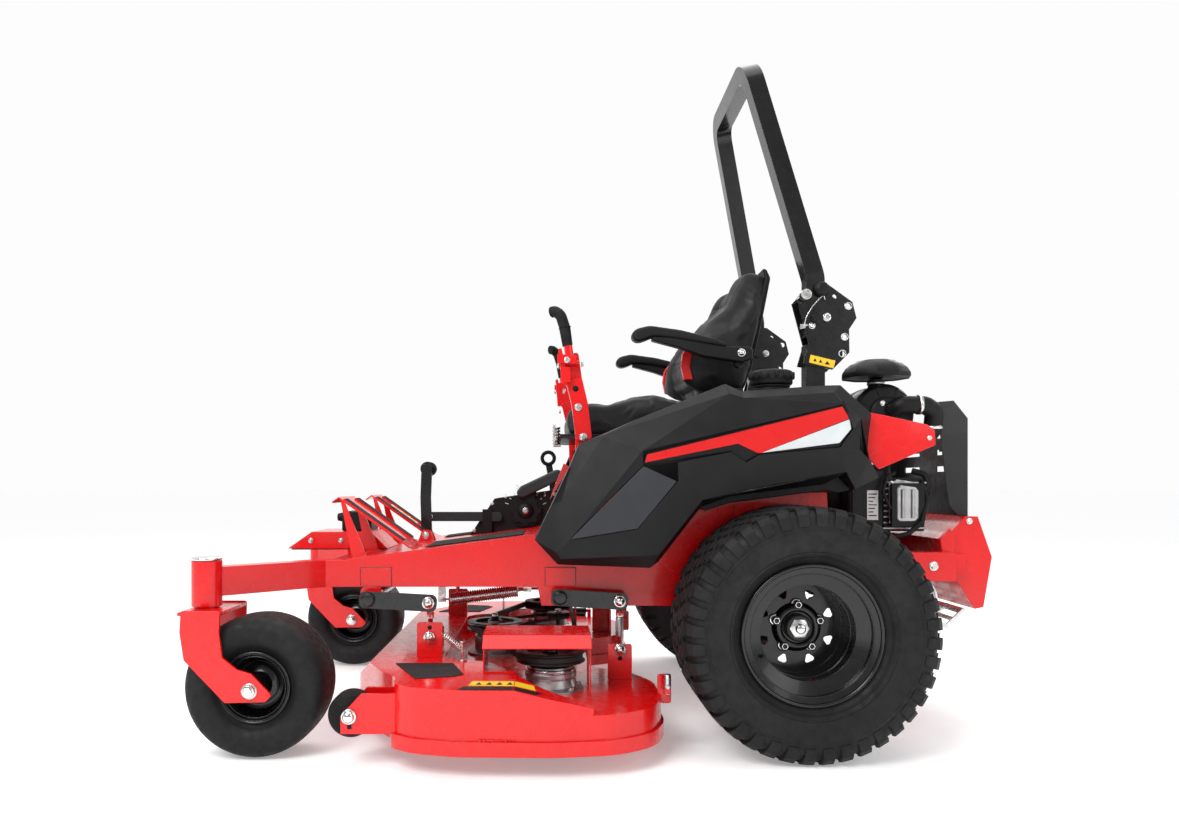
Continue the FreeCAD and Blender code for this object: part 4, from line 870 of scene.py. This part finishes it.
def armrest(side, hand):
    """A moulded pad that thins into its arm, with its pivot bolt and stop."""
    body = f"{hand}_arm"
    pad = [(-388, 1064), (-390, 1080), (-378, 1094), (-340, 1103), (-254, 1091), (-160, 1068), (-120, 1052),
           (-128, 1042), (-190, 1052), (-270, 1066), (-330, 1072), (-352, 1062), (-372, 1056)]
    piece = outline_solid(f"{hand}_arm_pad", pad, min(side * 250, side * 303), max(side * 250, side * 303),
                          11)
    modify(piece, "REMESH", mode="VOXEL", voxel_size=0.004, use_smooth_shade=True)
    modify(piece, "SMOOTH", factor=0.5, iterations=12)
    apply_modifiers(piece)
    modify(piece, "SUBSURF", levels=1, render_levels=1)
    finish_piece(piece, FOAM_SMOOTH, body)
    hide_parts(f"{hand}_armrest")
    arm = [(-335, 1062), (-330, 1074), (-254, 1072), (-180, 1056), (-120, 1046), (-62, 1044), (-52, 1036),
           (-54, 1008), (-82, 1001), (-191, 1018), (-260, 1042)]
    slab(f"{hand}_arm_core", arm, side * 262, side * 296, PLASTIC, body, bevel=5)
    bolt(f"{hand}_arm_bolt", (-85, side * 296, 1027), "Y", side, 9, body, STEEL, round_head=True)
    lathe(f"{hand}_arm_stop", handed(side, [(0, 0), (0, 13), (4, 14), (22, 12), (22, 0)]),
          (-88, side * 258, 1001), "Y", PLASTIC, body, 12, bevel=1)


seat()
for side, hand in SIDES:
    armrest(side, hand)

# ---------------------------------------------------------------- control levers and roll bar


def lever_dressing(side, hand):
    """Bolts, the clamp and the foam grip of one control lever."""
    drive, grip = f"{hand}_lever", f"{hand}_grip"
    for n, (x, z) in enumerate(((-575, 915), (-592, 984))):
        bolt(f"{hand}_lever_side_bolt_{n}", (x, side * 344, z), "X", -1, 7, drive)
    bolt(f"{hand}_lever_back_bolt", (-532, side * 344, 989), "X", 1, 7, drive)
    bolt(f"{hand}_lever_face_bolt", (-540, side * 352, 871), "Y", side, 8, drive)
    bolt(f"{hand}_lever_pivot_bolt", (-526, side * 352, 790), "Y", side, 8.5, drive)
    # A thin dark disc paints the shade inside the lever's slot; it is not a part.
    lathe(f"{hand}_lever_slot_shade", handed(side, [(0, 0), (0, 8), (0.6, 8), (0.6, 0)]), (-547, side * 352, 921),
          "Y", PLASTIC, drive, 24)
    for n, shift in enumerate((-1, 1)):
        ear = [(-584, 936), (-588, 1004), (-592, 1026), (-584, 1028), (-578, 1006), (-570, 1000),
               (-562, 1006), (-560, 958), (-560, 936)]
        low = side * 356 + shift * 17
        if shift == side:
            upper = [(-586, 988), *ear[1:7], (-561, 988)]
            slab(f"{hand}_clamp_hook", [(x - 2, z) for x, z in upper], low - 1.5, low + 1.5, RED, grip,
                 bevel=1)
            ear = [(-584, 936), (-587, 977), (-561, 977), (-560, 958), (-560, 936)]
        slab(f"{hand}_clamp_cheek_{n}", [(x - 2, z) for x, z in ear], low - 1.5, low + 1.5, RED, drive,
             bevel=1)
    slab(f"{hand}_clamp_band", [(-597, 988), (-597, 1012), (-546, 1006), (-546, 986)], side * 374,
         side * 377.5, RED, grip, bevel=1)
    bolt(f"{hand}_clamp_bolt", (-571, side * 377.5, 996), "Y", side, 6.5, grip)
    tube = [(-562, side * 360, 996), (-569, side * 360, 1046)]
    pipe(f"{hand}_grip_tube", tube, 12, RED, grip)
    foam = [(-569, side * 360, 1036), (-577, side * 360, 1086), (-588, side * 358, 1120),
            (-603, side * 350, 1131), (-612, side * 344, 1130)]
    shape = pipe(f"{hand}_grip_foam", foam, 16, FOAM, grip, 26, 28, radii=(14, 15.5, 17, 17.5, 15))
    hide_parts(f"{hand}_lever_grip")


def roll_bar_dressing(side, hand):
    """Label, bolts, stop and lock wire on one hinge plate."""
    out = side * 368
    slab(f"{hand}_post_label", [(85, 1011), (152, 995), (147, 974), (81, 990)], out, out + side * 0.6, YELLOW,
         bevel=0.1)
    for n, (x, z, width) in enumerate(((97, 997.5, 9), (112, 994, 9), (130, 989, 14))):
        mark = [(x - width / 2, z - 4), (x, z + 5), (x + width / 2, z - 5)]
        slab(f"{hand}_label_mark_{n}", mark, out + side * 0.6, out + side * 0.8, PLASTIC, bevel=0)
    bolt(f"{hand}_fold_bolt_head", (129, out, 1112), "Y", side, 9, material=STEEL)
    bolt(f"{hand}_fold_nut_inner", (129, side * 306, 1112), "Y", -side, 9)
    lathe(f"{hand}_bumper_knob", handed(side, [(0, 0), (0, 19), (6, 21), (14, 18), (18, 10), (19, 0)]),
          (113, out, 1187), "Y", PLASTIC, steps=40)
    bolt(f"{hand}_lock_bolt", (89, out, 1089), "Y", side, 7, material=STEEL, round_head=True)
    slab(f"{hand}_lock_clip", [(56, 1079), (56, 1092), (72, 1094), (78, 1090), (70, 1086), (70, 1082)], out,
         out + side * 5, ZINC, bevel=0.8)
    wire = [(67, out + side * 4, 1090), (72, out + side * 6, 1112), (88, out + side * 7, 1140),
            (110, out + side * 7, 1164), (119, out + side * 7, 1170), (122, out + side * 6, 1158)]
    pipe(f"{hand}_lock_wire", wire, 1.3, ZINC, bend=10, sides=8)
    for n, (x, z) in enumerate(((187, 1142), (177, 1059), (171, 1014))):
        rim = handed(side, [(0, 8.2), (0, 10.5), (0.9, 10.2), (0.9, 8.2)])
        lathe(f"{hand}_plate_eyelet_{n}", rim, (x, out, z), "Y", ZINC, steps=32, closed=True)


for side, hand in SIDES:
    lever_dressing(side, hand)
    roll_bar_dressing(side, hand)

# ---------------------------------------------------------------- engine

CLEANER_X, CLEANER_Z = 335, 862
INTAKE = (322, -200)
FAN_X = 250
MUFFLER_X, MUFFLER_Z = 430, 336


def air_cleaner():
    """The canister with its hooded intake and hose."""
    hub = (CLEANER_X, 0, CLEANER_Z)
    body = [(-247, 0), (-247, 70), (-243, 78), (-234, 82), (-226, 84), (-224, 87), (-214, 87), (-212, 84),
            (-120, 84), (-118, 86), (-110, 86), (-108, 84), (-20, 84), (8, 78), (14, 60), (14, 0)]
    shell = lathe("cleaner_can", body, hub, "Y", PLASTIC, steps=72, bevel=1.2)
    lathe("cleaner_outlet", [(-247, 0), (-247, 48), (-254, 46), (-258, 40), (-258, 0)], hub, "Y", PLASTIC,
          steps=48, bevel=1)
    for n in range(8):
        turn = math.radians(45 * n + 20)
        rib = [around(CLEANER_X, CLEANER_Z, radius, turn) for radius in (50, 78)]
        slab(f"cleaner_rib_{n}", flat_run(rib, 5), -249, -244, PLASTIC, bevel=1)
    lathe("intake_stem", [(0, 0), (0, 27), (8, 27), (12, 22), (78, 22), (82, 0)], (*INTAKE, 885), "Z",
          PLASTIC, steps=40, bevel=1)
    lathe("stem_clamp", [(0, 22), (0, 24.5), (9, 24.5), (9, 22)], (*INTAKE, 948), "Z", ZINC, steps=40,
          closed=True)
    hood = [(0, 22), (2, 90), (-2, 96), (3, 98), (12, 97), (26, 88), (38, 74), (45, 58), (49, 52), (52, 38),
            (53, 0)]
    lathe("intake_cap", [(rise + 8, r) for rise, r in hood], (*INTAKE, 959), "Z", PLASTIC, steps=10, bevel=2)
    path = [(350, -256, 868), (362, -276, 884), (430, -278, 884), (462, -266, 868), (464, -250, 812),
            (440, -190, 790), (384, -120, 780), (380, -110, 721)]
    pipe("intake_hose", path, 25, PLASTIC, bend=26, sides=28)
    for n, (spot, axis) in enumerate((((414, -278, 884), "X"), ((464, -252, 822), "Z"))):
        lathe(f"hose_clamp_{n}", [(-5, 25), (-5, 27.5), (5, 27.5), (5, 25)], spot, axis, ZINC, steps=48,
              closed=True)
    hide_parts("air_cleaner")
    bolt("cleaner_stud", (320, -259, 890), "Y", -1, 6)


def engine_side(side, hand):
    """One cylinder bank: ribbed head, alloy valve cover, shroud panel and wiring."""
    panel = [(222, 702), (322, 702), (322, 546), (300, 532), (222, 560)]
    slab(f"{hand}_engine_panel", panel, side * 205, side * 268, ENGINE, bevel=7)
    slab(f"{hand}_panel_step", [(230, 694), (262, 694), (262, 566), (230, 578)], side * 267, side * 272,
         ENGINE, bevel=2)
    slab(f"{hand}_engine_label", [(273, 645), (304, 645), (304, 562), (273, 562)], side * 268, side * 268.6,
         WHITE, bevel=0.1)
    for n in range(7):
        z = 636 - 10 * n
        mark = [(277, z), (300 - 5 * (n % 3), z), (300 - 5 * (n % 3), z - 3), (277, z - 3)]
        slab(f"{hand}_label_line_{n}", mark, side * 268.6, side * 268.8, PLASTIC, bevel=0)
    for n in range(9):
        z = 536 + 16 * n
        slab(f"{hand}_cylinder_fin_{n}", [(318, z), (442, z), (442, z + 5), (318, z + 5)], side * 132,
             side * 262, ALLOY, bevel=1)
    cover = [(334, 560), (346, 546), (406, 546), (420, 562), (420, 650), (410, 668), (354, 676), (334, 660)]
    slab(f"{hand}_valve_flange", cover, side * 262, side * 272, ALLOY, bevel=2)
    top = [(346, 566), (354, 557), (400, 557), (410, 568), (410, 644), (402, 656), (358, 662), (346, 652)]
    slab(f"{hand}_valve_dome", top, side * 272, side * 292, ALLOY, bevel=8)
    for n, x in enumerate((364, 392)):
        pipe(f"{hand}_valve_rib_{n}", [(x, side * 290, 568), (x, side * 290, 648)], 6.5, ALLOY)
    for n, (x, z) in enumerate(((341, 556), (413, 557), (340, 664), (413, 655))):
        bolt(f"{hand}_valve_bolt_{n}", (x, side * 272, z), "Y", side, 6)
    wires = [[(428, side * 262, 672), (434, side * 282, 618), (416, side * 294, 556), (376, side * 296, 524),
              (322, side * 284, 510)],
             [(350, side * 270, 694), (322, side * 286, 682), (308, side * 290, 642), (330, side * 290, 594)],
             [(405, side * 250, 700), (440, side * 262, 690), (452, side * 240, 640), (446, side * 200, 560)]]
    for n, wire in enumerate(wires):
        pipe(f"{hand}_engine_wire_{n}", wire, (7, 5, 9)[n], PLASTIC, bend=18, sides=12)


def engine():
    """Shroud, fan screen, both cylinder banks and the oil filter."""
    shroud = [(0, 0), (0, 182), (6, 186), (96, 184), (128, 172), (140, 156), (140, 132), (136, 128), (136, 0)]
    lathe("shroud_ring", shroud, (FAN_X, 0, 580), "Z", ENGINE, steps=72, bevel=2)
    screen = [(0, 0), (0, 128), (6, 126), (10, 60), (12, 0)]
    lathe("fan_screen", screen, (FAN_X, 0, 716), "Z", SATIN, steps=72)
    for n in range(18):
        turn = math.radians(20 * n)
        fin = flat_run([around(FAN_X, 0, radius, turn) for radius in (28, 122)], 4)
        slab(f"screen_rib_{n}", fin, 724, 731, SATIN, plane="XY", bevel=0.5)
    for side, hand in SIDES:
        engine_side(side, hand)
    can = [(-252, 0), (-252, 32), (-248, 37), (-165, 38), (-160, 30), (-160, 0)]
    lathe("oil_filter_0", can, (200, 0, 470), "Y", WHITE, steps=48, bevel=1)
    slab("oil_drip_tray", [(196, 424), (300, 424), (300, 430), (196, 430)], -250, -160, SATIN, bevel=1)


def rear_dressing():
    """Accent plates, bumper bolts, guard louvres and the muffler."""
    accent = [(205, 846), (224, 843), (352, 816), (372, 801), (374, 763), (228, 700), (196, 731)]
    for side, hand in SIDES:
        plate = slab(f"{hand}_accent_plate", accent, side * 476, side * 480, RED, bevel=1.2)
        drill(plate, [around(358, 781, 6, k / 8 * math.tau) for k in range(8)], side * 470, side * 486, "XZ")
        slab(f"{hand}_accent_return", [(228, 842), (352, 815), (352, 812), (228, 839)], side * 404,
             side * 477, RED, bevel=0.8)
        slab(f"{hand}_accent_stay", [(214, 836), (240, 830), (240, 806), (214, 812)], side * 362, side * 406,
             SATIN, bevel=1)
        bolt(f"{hand}_accent_bolt", (358, side * 476, 781), "Y", side, 7)
        bolt(f"{hand}_rear_arm_bolt", (419, side * 363, 441), "Y", side, 10)
        for n, (x, z) in enumerate(((492, 520), (545, 560))):
            bolt(f"{hand}_bumper_bolt_{n}", (x, side * 300, z), "Y", side, 7)
        fold = [(457, 511), (483, 540), (500, 528), (492, 430), (470, 425)]
        slab(f"{hand}_bumper_fold", fold, side * 300, side * 316, RED, bevel=2)
    for n, z in enumerate((648, 686, 760, 812)):
        for m, y in enumerate((-190, 70)):
            slot = [(y, z), (y + 120, z), (y + 120, z + 9), (y, z + 9)]
            slab(f"guard_louvre_{n}_{m}", slot, 560.5, 564, SATIN, plane="YZ", bevel=1)
    can = [(-232, 0), (-232, 50), (-226, 57), (-220, 59), (220, 59), (226, 57), (232, 50), (232, 0)]
    lathe("muffler_shell", can, (MUFFLER_X, 0, MUFFLER_Z), "Y", ALLOY, steps=56, bevel=1)
    for n, y in enumerate((-180, -60, 60, 180)):
        lathe(f"muffler_seam_{n}", [(-4, 58), (-4, 61), (4, 61), (4, 58)], (MUFFLER_X, y, MUFFLER_Z), "Y",
              ALLOY, steps=56, closed=True)
    pipe("tail_pipe", [(470, 150, 330), (520, 160, 322), (556, 170, 300)], 19, SATIN, bend=20)


air_cleaner()
engine()
rear_dressing()

# ---------------------------------------------------------------- cutter deck

LINK_Y = 382
ROLLER_X, ROLLER_Z = -1085, 123
CENTRE_SPINDLE_X = -785
BELT_Z = 228


def deck_top(x):
    """Height of the deck's top, which falls behind the spindles."""
    return 200.3 if x < -700 else 200.3 - (x + 700) * 58 / 245


def on_deck(name, outline, material, thick=0.7):
    """A thin sheet stuck to the deck's top, following its slope."""
    points = [(x, y, deck_top(x) + lift) for lift in (0, thick) for x, y in outline]
    sheet = mesh_object(name, points, prism_faces(len(outline)))
    return finish_piece(sheet, material, "deck", smooth=False)


def coil(name, start, end, radius, wire, turns, body):
    """A close wound spring between two places, with a short straight lead at each end."""
    start, end = Vector(start), Vector(end)
    along = (end - start).normalized()
    side = along.cross(Vector((0, 1, 0.01))).normalized()
    up = along.cross(side)
    points = [start - along * radius, start]
    for n in range(turns * 12 + 1):
        turn = n / 12 * math.tau
        here = start.lerp(end, n / (turns * 12))
        points.append(here + side * math.cos(turn) * radius + up * math.sin(turn) * radius)
    points += [end, end + along * radius]
    return pipe(name, [tuple(p) for p in points], wire, STEEL, body, 0, 6)


def deck_side(side, hand):
    """Height links, spindle housing, roller fittings and welds on one side."""
    patch = [(-1014, 475), (-867, 475), (-828, 608), (-846, 632), (-938, 660)]
    on_deck(f"{hand}_deck_grip", [(x, side * y) for x, y in patch], GRIP_TAPE, 1.6)
    for name, x, top, bolt_z, hole_z, pin_z in (("front", -937, 294, 256, 281, 348),
                                                ("rear", -431, 236, 224, 199, 352)):
        lathe(f"{hand}_{name}_link_rod", [(0, 0), (0, 6.5), (pin_z - top - 8, 6.5), (pin_z - top - 8, 0)],
              (x, side * LINK_Y, top), "Z", ZINC, "deck", 24)
        lathe(f"{hand}_{name}_link_nut", [(0, 0), (0, 10.5), (10, 10.5), (10, 0)],
              (x, side * LINK_Y, pin_z - 44), "Z", ZINC, "deck", 6, bevel=0.8)
        bolt(f"{hand}_{name}_tab_bolt", (x, side * 406, bolt_z), "Y", side, 12, "deck", STEEL,
             round_head=True)
        # A thin dark disc paints the shade inside the tab's hole; no hole is cut.
        lathe(f"{hand}_{name}_tab_hole_shade", handed(side, [(0, 0), (0, 6), (0.5, 6), (0.5, 0)]),
              (x, side * 398, hole_z), "Y", PLASTIC, "deck", 24)
    lathe(f"{hand}_rear_sleeve", [(0, 0), (0, 9), (3, 10.5), (50, 10.5), (53, 9), (53, 0)],
          (-431, side * LINK_Y, 254), "Z", ALLOY, "deck", 32)
    for name, x, z, pin in (("front", -1100, 355, (-939, 347)), ("rear", -590, 361, (-432, 352))):
        body = f"{name}_lift"
        lathe(f"{hand}_{name}_arm_boss", handed(side, [(0, 0), (0, 20), (7, 19), (11, 15), (12, 0)]),
              (x, side * 405, z), "Y", BLACK, body, 40, bevel=0.6)
        bolt(f"{hand}_{name}_arm_pin", (pin[0], side * 412, pin[1]), "Y", side, 13, body, STEEL,
             round_head=True)
    bolt(f"{hand}_roller_bolt_head", (ROLLER_X, side * 709, ROLLER_Z), "Y", side, 14, "deck", STEEL,
         round_head=True)
    # A thin dark square paints the shade inside the bracket's square hole; no hole is cut.
    slab(f"{hand}_roller_square_hole_shade", [(-1089, 94), (-1089, 104), (-1079, 104), (-1079, 94)], side * 706,
         side * 706.5, PLASTIC, "deck", bevel=0)
    lathe(f"{hand}_tail_bush", [(0, 0), (0, 9), (48, 9), (48, 0)], (-332, side * 596, 150), "Z", ZINC, "deck",
          32, bevel=1)
    bolt(f"{hand}_tail_screw", (-332, side * 605, 168), "Y", side, 5, "deck")
    lathe(f"{hand}_roller_hub", [(-29, 8.5), (-29, 20), (29, 20), (29, 8.5)],
          (ROLLER_X, side * 668, ROLLER_Z), "Y", PLASTIC, f"{hand}_roller_body", 32, closed=True)
    x, y = -616, side * 500
    housing = [(0, 0), (0, 82), (5, 80), (9, 66), (30, 62), (34, 65), (44, 65), (48, 61), (60, 58), (64, 48),
               (64, 0)]
    lathe(f"{hand}_housing_shell", housing, (x, y, 142.5), "Z", ALLOY, "deck", 56, bevel=1)
    lathe(f"{hand}_housing_ring", [(0, 60), (0, 63.5), (5, 63.5), (5, 60)], (x, y, 192), "Z", STEEL, "deck",
          56, closed=True)
    for n in range(6):
        turn = math.radians(60 * n + 15)
        bolt(f"{hand}_housing_bolt_{n}", (*around(x, y, 73, turn), 150), "Z", 1, 7, "deck")
    lip = [(0, 0), (0, 87), (3, 88), (6, 84), (12, 76), (20, 84), (23, 88), (26, 87), (27, 74), (20, 66),
           (20, 0)]
    lathe(f"{hand}_pulley_lip", lip, (x, y, 213.5), "Z", SATIN, f"{hand}_rotor", 64, bevel=0.6)
    bolt(f"{hand}_pulley_bolt", (x, y, 238), "Z", 1, 15, f"{hand}_rotor")
    for n, (a, z) in enumerate(((-745, 222), (-700, 150))):
        bolt(f"{hand}_cover_screw_{n}", (a, side * 560, 145), "Z", 1, 7, "deck")
    for n in range(14):
        spot = -775 + 6 * n + 2 * math.sin(n * 2.3)
        lathe(f"{hand}_weld_bead_{n}", [(-3.5, 0), (-2.5, 2.4), (0, 3), (2.5, 2.4), (3.5, 0)],
              (spot, side * (782 + 0.02 * abs(spot + 690)), 88.5), "X", RED, "deck", 10)


def deck():
    """Stickers, both sides, springs, the centre pulley and the idler."""
    on_deck("deck_strip_black", [(-828, -776), (-702, -778), (-702, -744), (-816, -741)], PLASTIC)
    on_deck("deck_strip_black_end", [(-700, -778), (-652, -776), (-634, -744), (-700, -744)], PLASTIC)
    on_deck("deck_strip_yellow", [(-806, -734), (-702, -736), (-702, -688), (-800, -686)], YELLOW)
    on_deck("deck_strip_yellow_end", [(-700, -736), (-652, -734), (-656, -690), (-700, -688)], YELLOW)
    for n in range(4):
        x = -790 + 24 * n
        on_deck(f"deck_mark_{n}", [(x, -726), (x + 14, -726), (x + 7, -698)], PLASTIC, 0.9)
    for side, hand in SIDES:
        deck_side(side, hand)
    coil("lift_spring_coil", (-905, -150, 326), (-710, -150, 350), 16.5, 2.4, 30, "chassis")
    coil("idler_spring", (-894, -440, 268), (-850, -440, 232), 8, 1.8, 9, "deck")
    lathe("spring_post", [(0, 0), (0, 12), (3, 12), (4, 5), (44, 5), (47, 8), (52, 8), (54, 0)],
          (-846, -440, 200), "Z", ZINC, "deck", 24, bevel=0.6)
    centre = [(0, 0), (0, 80), (2, 84), (6, 84), (12, 72), (18, 84), (22, 84), (24, 80), (24, 66), (14, 60),
              (12, 24), (26, 22), (28, 14), (28, 0)]
    lathe("centre_pulley_face", centre, (CENTRE_SPINDLE_X, 0, 215), "Z", ALLOY, "centre_rotor", 72, bevel=0.6)
    lathe("centre_pulley_stub", [(0, 0), (0, 9), (20, 9), (24, 6), (24, 0)], (CENTRE_SPINDLE_X, 0, 240), "Z",
          STEEL, "centre_rotor", 24)
    upper = hull_loop([(CENTRE_SPINDLE_X, 0, 74), (-586, 205, 34)])
    pipe("idler_belt_edge", upper, 5, BELT, "deck", 0, 10)
    bolt("idler_bolt", (-586, 205, 238), "Z", 1, 11, "idler")
    bolt("idler_pivot_bolt", (-680, 240, 208), "Z", 1, 10, "deck")


def rail_patches(side, hand):
    """The two pocket plates let into the rail's outer face above the lift arms."""
    for n, (front, rear) in enumerate(((-1127, -1045), (-629, -548))):
        for name, gap, top, material in (("rim", 2, 363.6, BLACK), ("plate", 0, 364.4, RED)):
            outline = [(front - gap, 387), (rear + gap, 387), (rear + gap, 437 + gap),
                       (front - gap, 437 + gap)]
            slab(f"{hand}_pocket_{name}_{n}", outline, side * 362, side * top, material, bevel=0.3)


def hull_loop(wheels):
    """A belt's closed run round two wheels, at belt height."""
    (ax, ay, ar), (bx, by, br) = wheels
    way = math.atan2(by - ay, bx - ax)
    spread = math.acos((ar - br) / math.hypot(bx - ax, by - ay))
    wrap = math.tau - 2 * spread
    points = [(*around(ax, ay, ar, way + spread + i / 12 * wrap), BELT_Z) for i in range(13)]
    points += [(*around(bx, by, br, way - spread + i / 8 * 2 * spread), BELT_Z) for i in range(9)]
    return [*points, points[0]]


deck()

# ---------------------------------------------------------------- footwell, console and small parts

DIAL = (-692, 578)
PEDAL_X, PEDAL_Z = -1007, 712


def ramp_strip(name, near, far, low, high, lift, material):
    """A strip lying along a foot ramp, raised off its line."""
    along = math.hypot(far[0] - near[0], far[1] - near[1])
    raised = [(x + lift * (far[1] - near[1]) / along, z + lift * (near[0] - far[0]) / along)
              for x, z in (near, far)]
    return slab(name, flat_run(raised, 2), low, high, material, bevel=0.6)


def footwell():
    """Grip strips, mats, the front case and the lift pedal's sleeve."""
    for n, y in enumerate((-318, -162, 152, 278)):
        ramp_strip(f"ramp_grip_{n}", (-1022, 504.9), (-1183, 619), y, y + 40, 3.6, GRIP_TAPE)
    ramp_strip("ramp_label", (-1062, 529.6), (-1150, 591.8), 205, 262, 2.4, CREAM)
    for n in range(3):
        start = -1070 - 26 * n
        ramp_strip(f"ramp_label_block_{n}", (start, 490 - (start + 1006) * 0.7068),
                   (start - 16, 490 - (start + 990) * 0.7068), 212, 255, 3.2, TAN)
    case = [(-1247, 521), (-1247, 572), (-1240, 580), (-1166, 580), (-1157, 572), (-1157, 521)]
    slab("front_case_shell", case, -59, 59, PLASTIC, bevel=4)
    lathe("front_case_plug", [(0, 0), (0, 13), (-5, 14), (-18, 11), (-20, 0)], (-1246, -34, 562), "X",
          PLASTIC, steps=24, bevel=1)
    slab("front_cover_shadow", [(-1390, 466), (-1390, 469.5), (-1110, 469.5), (-1110, 467)], -92, 92, PLASTIC,
         bevel=0.5)
    for n, x in enumerate((-1330, -1240, -1150)):
        bolt(f"front_cover_bolt_{n}", (x, -101, 494), "Y", -1, 6)
    for n, (low, high) in enumerate(((-308, -66), (158, 300))):
        slab(f"floor_mat_{n}", [(-960, 488.4), (-690, 523.6), (-690, 525.6), (-960, 490.4)], low, high,
             GRIP_TAPE, bevel=0.6)
    lathe("pedal_sleeve", [(0, 0), (0, 20), (3, 22), (73, 22), (76, 20), (76, 0)], (PEDAL_X, 89, PEDAL_Z),
          "Y", FOAM, "pedal", 40, bevel=1)
    for n in range(6):
        lathe(f"pedal_rib_{n}", [(-2, 21), (-2, 23), (2, 23), (2, 21)], (PEDAL_X, 98 + 11.5 * n, PEDAL_Z),
              "Y", FOAM, "pedal", 40, closed=True)
    bolt("strap_bolt_head", (-999, 91, 559), "Y", -1, 8, "strap", STEEL, round_head=True)
    bolt("pedal_pivot_bolt", (PEDAL_X, 58, 500), "Y", -1, 9, material=STEEL)


def console():
    """Height dial with its numbers, screws, brake grip ring and knobs."""
    rosette = []
    for n in range(56):
        turn = n / 56 * math.tau
        reach = 50 if n % 7 in (0, 1, 6) else 43
        rosette.append(around(*DIAL, reach, turn))
    slab("dial_rosette", rosette, 94, 100.5, PLASTIC, "dial", bevel=1.2)
    lathe("dial_hub", [(0, 0), (0, 26), (-4, 24), (-7, 14), (-8, 0)], (DIAL[0], 94, DIAL[1]), "Y", PLASTIC,
          "dial", 40)
    bolt("dial_bolt", (DIAL[0], 86, DIAL[1]), "Y", -1, 8, "dial")
    pad = [(-722, 638), (-716, 622), (-700, 618), (-584, 674), (-572, 692), (-578, 706), (-594, 710),
           (-708, 656)]
    slab("dial_handle_pad", pad, 77, 107, INSERT, "dial", bevel=7)
    for n in range(9):
        turn = math.radians(20 + 17.5 * n)
        tick = flat_run([around(*DIAL, 58, turn), around(*DIAL, 66 if n % 2 else 70, turn)], 2.2)
        slab(f"dial_tick_{n}", tick, 109.2, 109.7, WHITE, bevel=0)
    for n, words in enumerate(("5", "4", "3", "2")):
        turn = math.radians(40 + 35 * n)
        text = bpy.data.curves.new(f"dial_number_{n}", "FONT")
        text.body = words
        text.size = 0.018
        text.align_x, text.align_y = "CENTER", "CENTER"
        text.extrude = 0.0003
        mark = bpy.data.objects.new(f"dial_number_{n}", text)
        x, z = around(*DIAL, 80, turn)
        mark.location = at(x, 109.4, z)
        mark.rotation_euler = (math.pi / 2, 0, 0)
        scene.collection.objects.link(mark)
        finish_piece(mark, WHITE, "chassis", smooth=False)
    for n, (x, z) in enumerate(((-858, 514), (-800, 600), (-600, 632))):
        bolt(f"console_screw_{n}", (x, 110, z), "Y", -1, 5)
    lathe("brake_grip_ring", [(-8, 14.5), (-8, 25), (-4, 27), (4, 27), (8, 25), (8, 14.5)],
          (-619, 305.5, 752), "Y", FOAM, "brake", 48, closed=True)
    for n, y in enumerate((150, 195, 240)):
        lathe(f"console_knob_{n}", [(0, 0), (0, 15), (4, 16), (12, 12), (20, 12), (24, 10), (24, 0)],
              (-690, y, 631.5), "Z", (RED_MOULDED, PLASTIC, PLASTIC)[n], steps=32, bevel=1)


def seat_latch():
    """The seat's latch with its spring and release rod."""
    rows = [(0, 0)]
    for n in range(6):
        rows += [(9 * n, 8), (9 * n + 2, 12), (9 * n + 6, 12), (9 * n + 8, 8)]
    lathe("seat_latch_spring", [*rows, (54, 0)], (-597, -150, 778), "Z", STEEL, "seat_base", 28)
    slab("seat_latch_plate", [(-606, 772), (-606, 836), (-600, 838), (-600, 776), (-584, 776), (-584, 772)],
         -166, -134, ZINC, "seat_base", bevel=0.8)
    pipe("seat_latch_rod", [(-600, -205, 792), (-600, 150, 792), (-590, 180, 792)], 4, ZINC, "seat_base", 12,
         12)


for side, hand in SIDES:
    rail_patches(side, hand)
footwell()
console()
seat_latch()
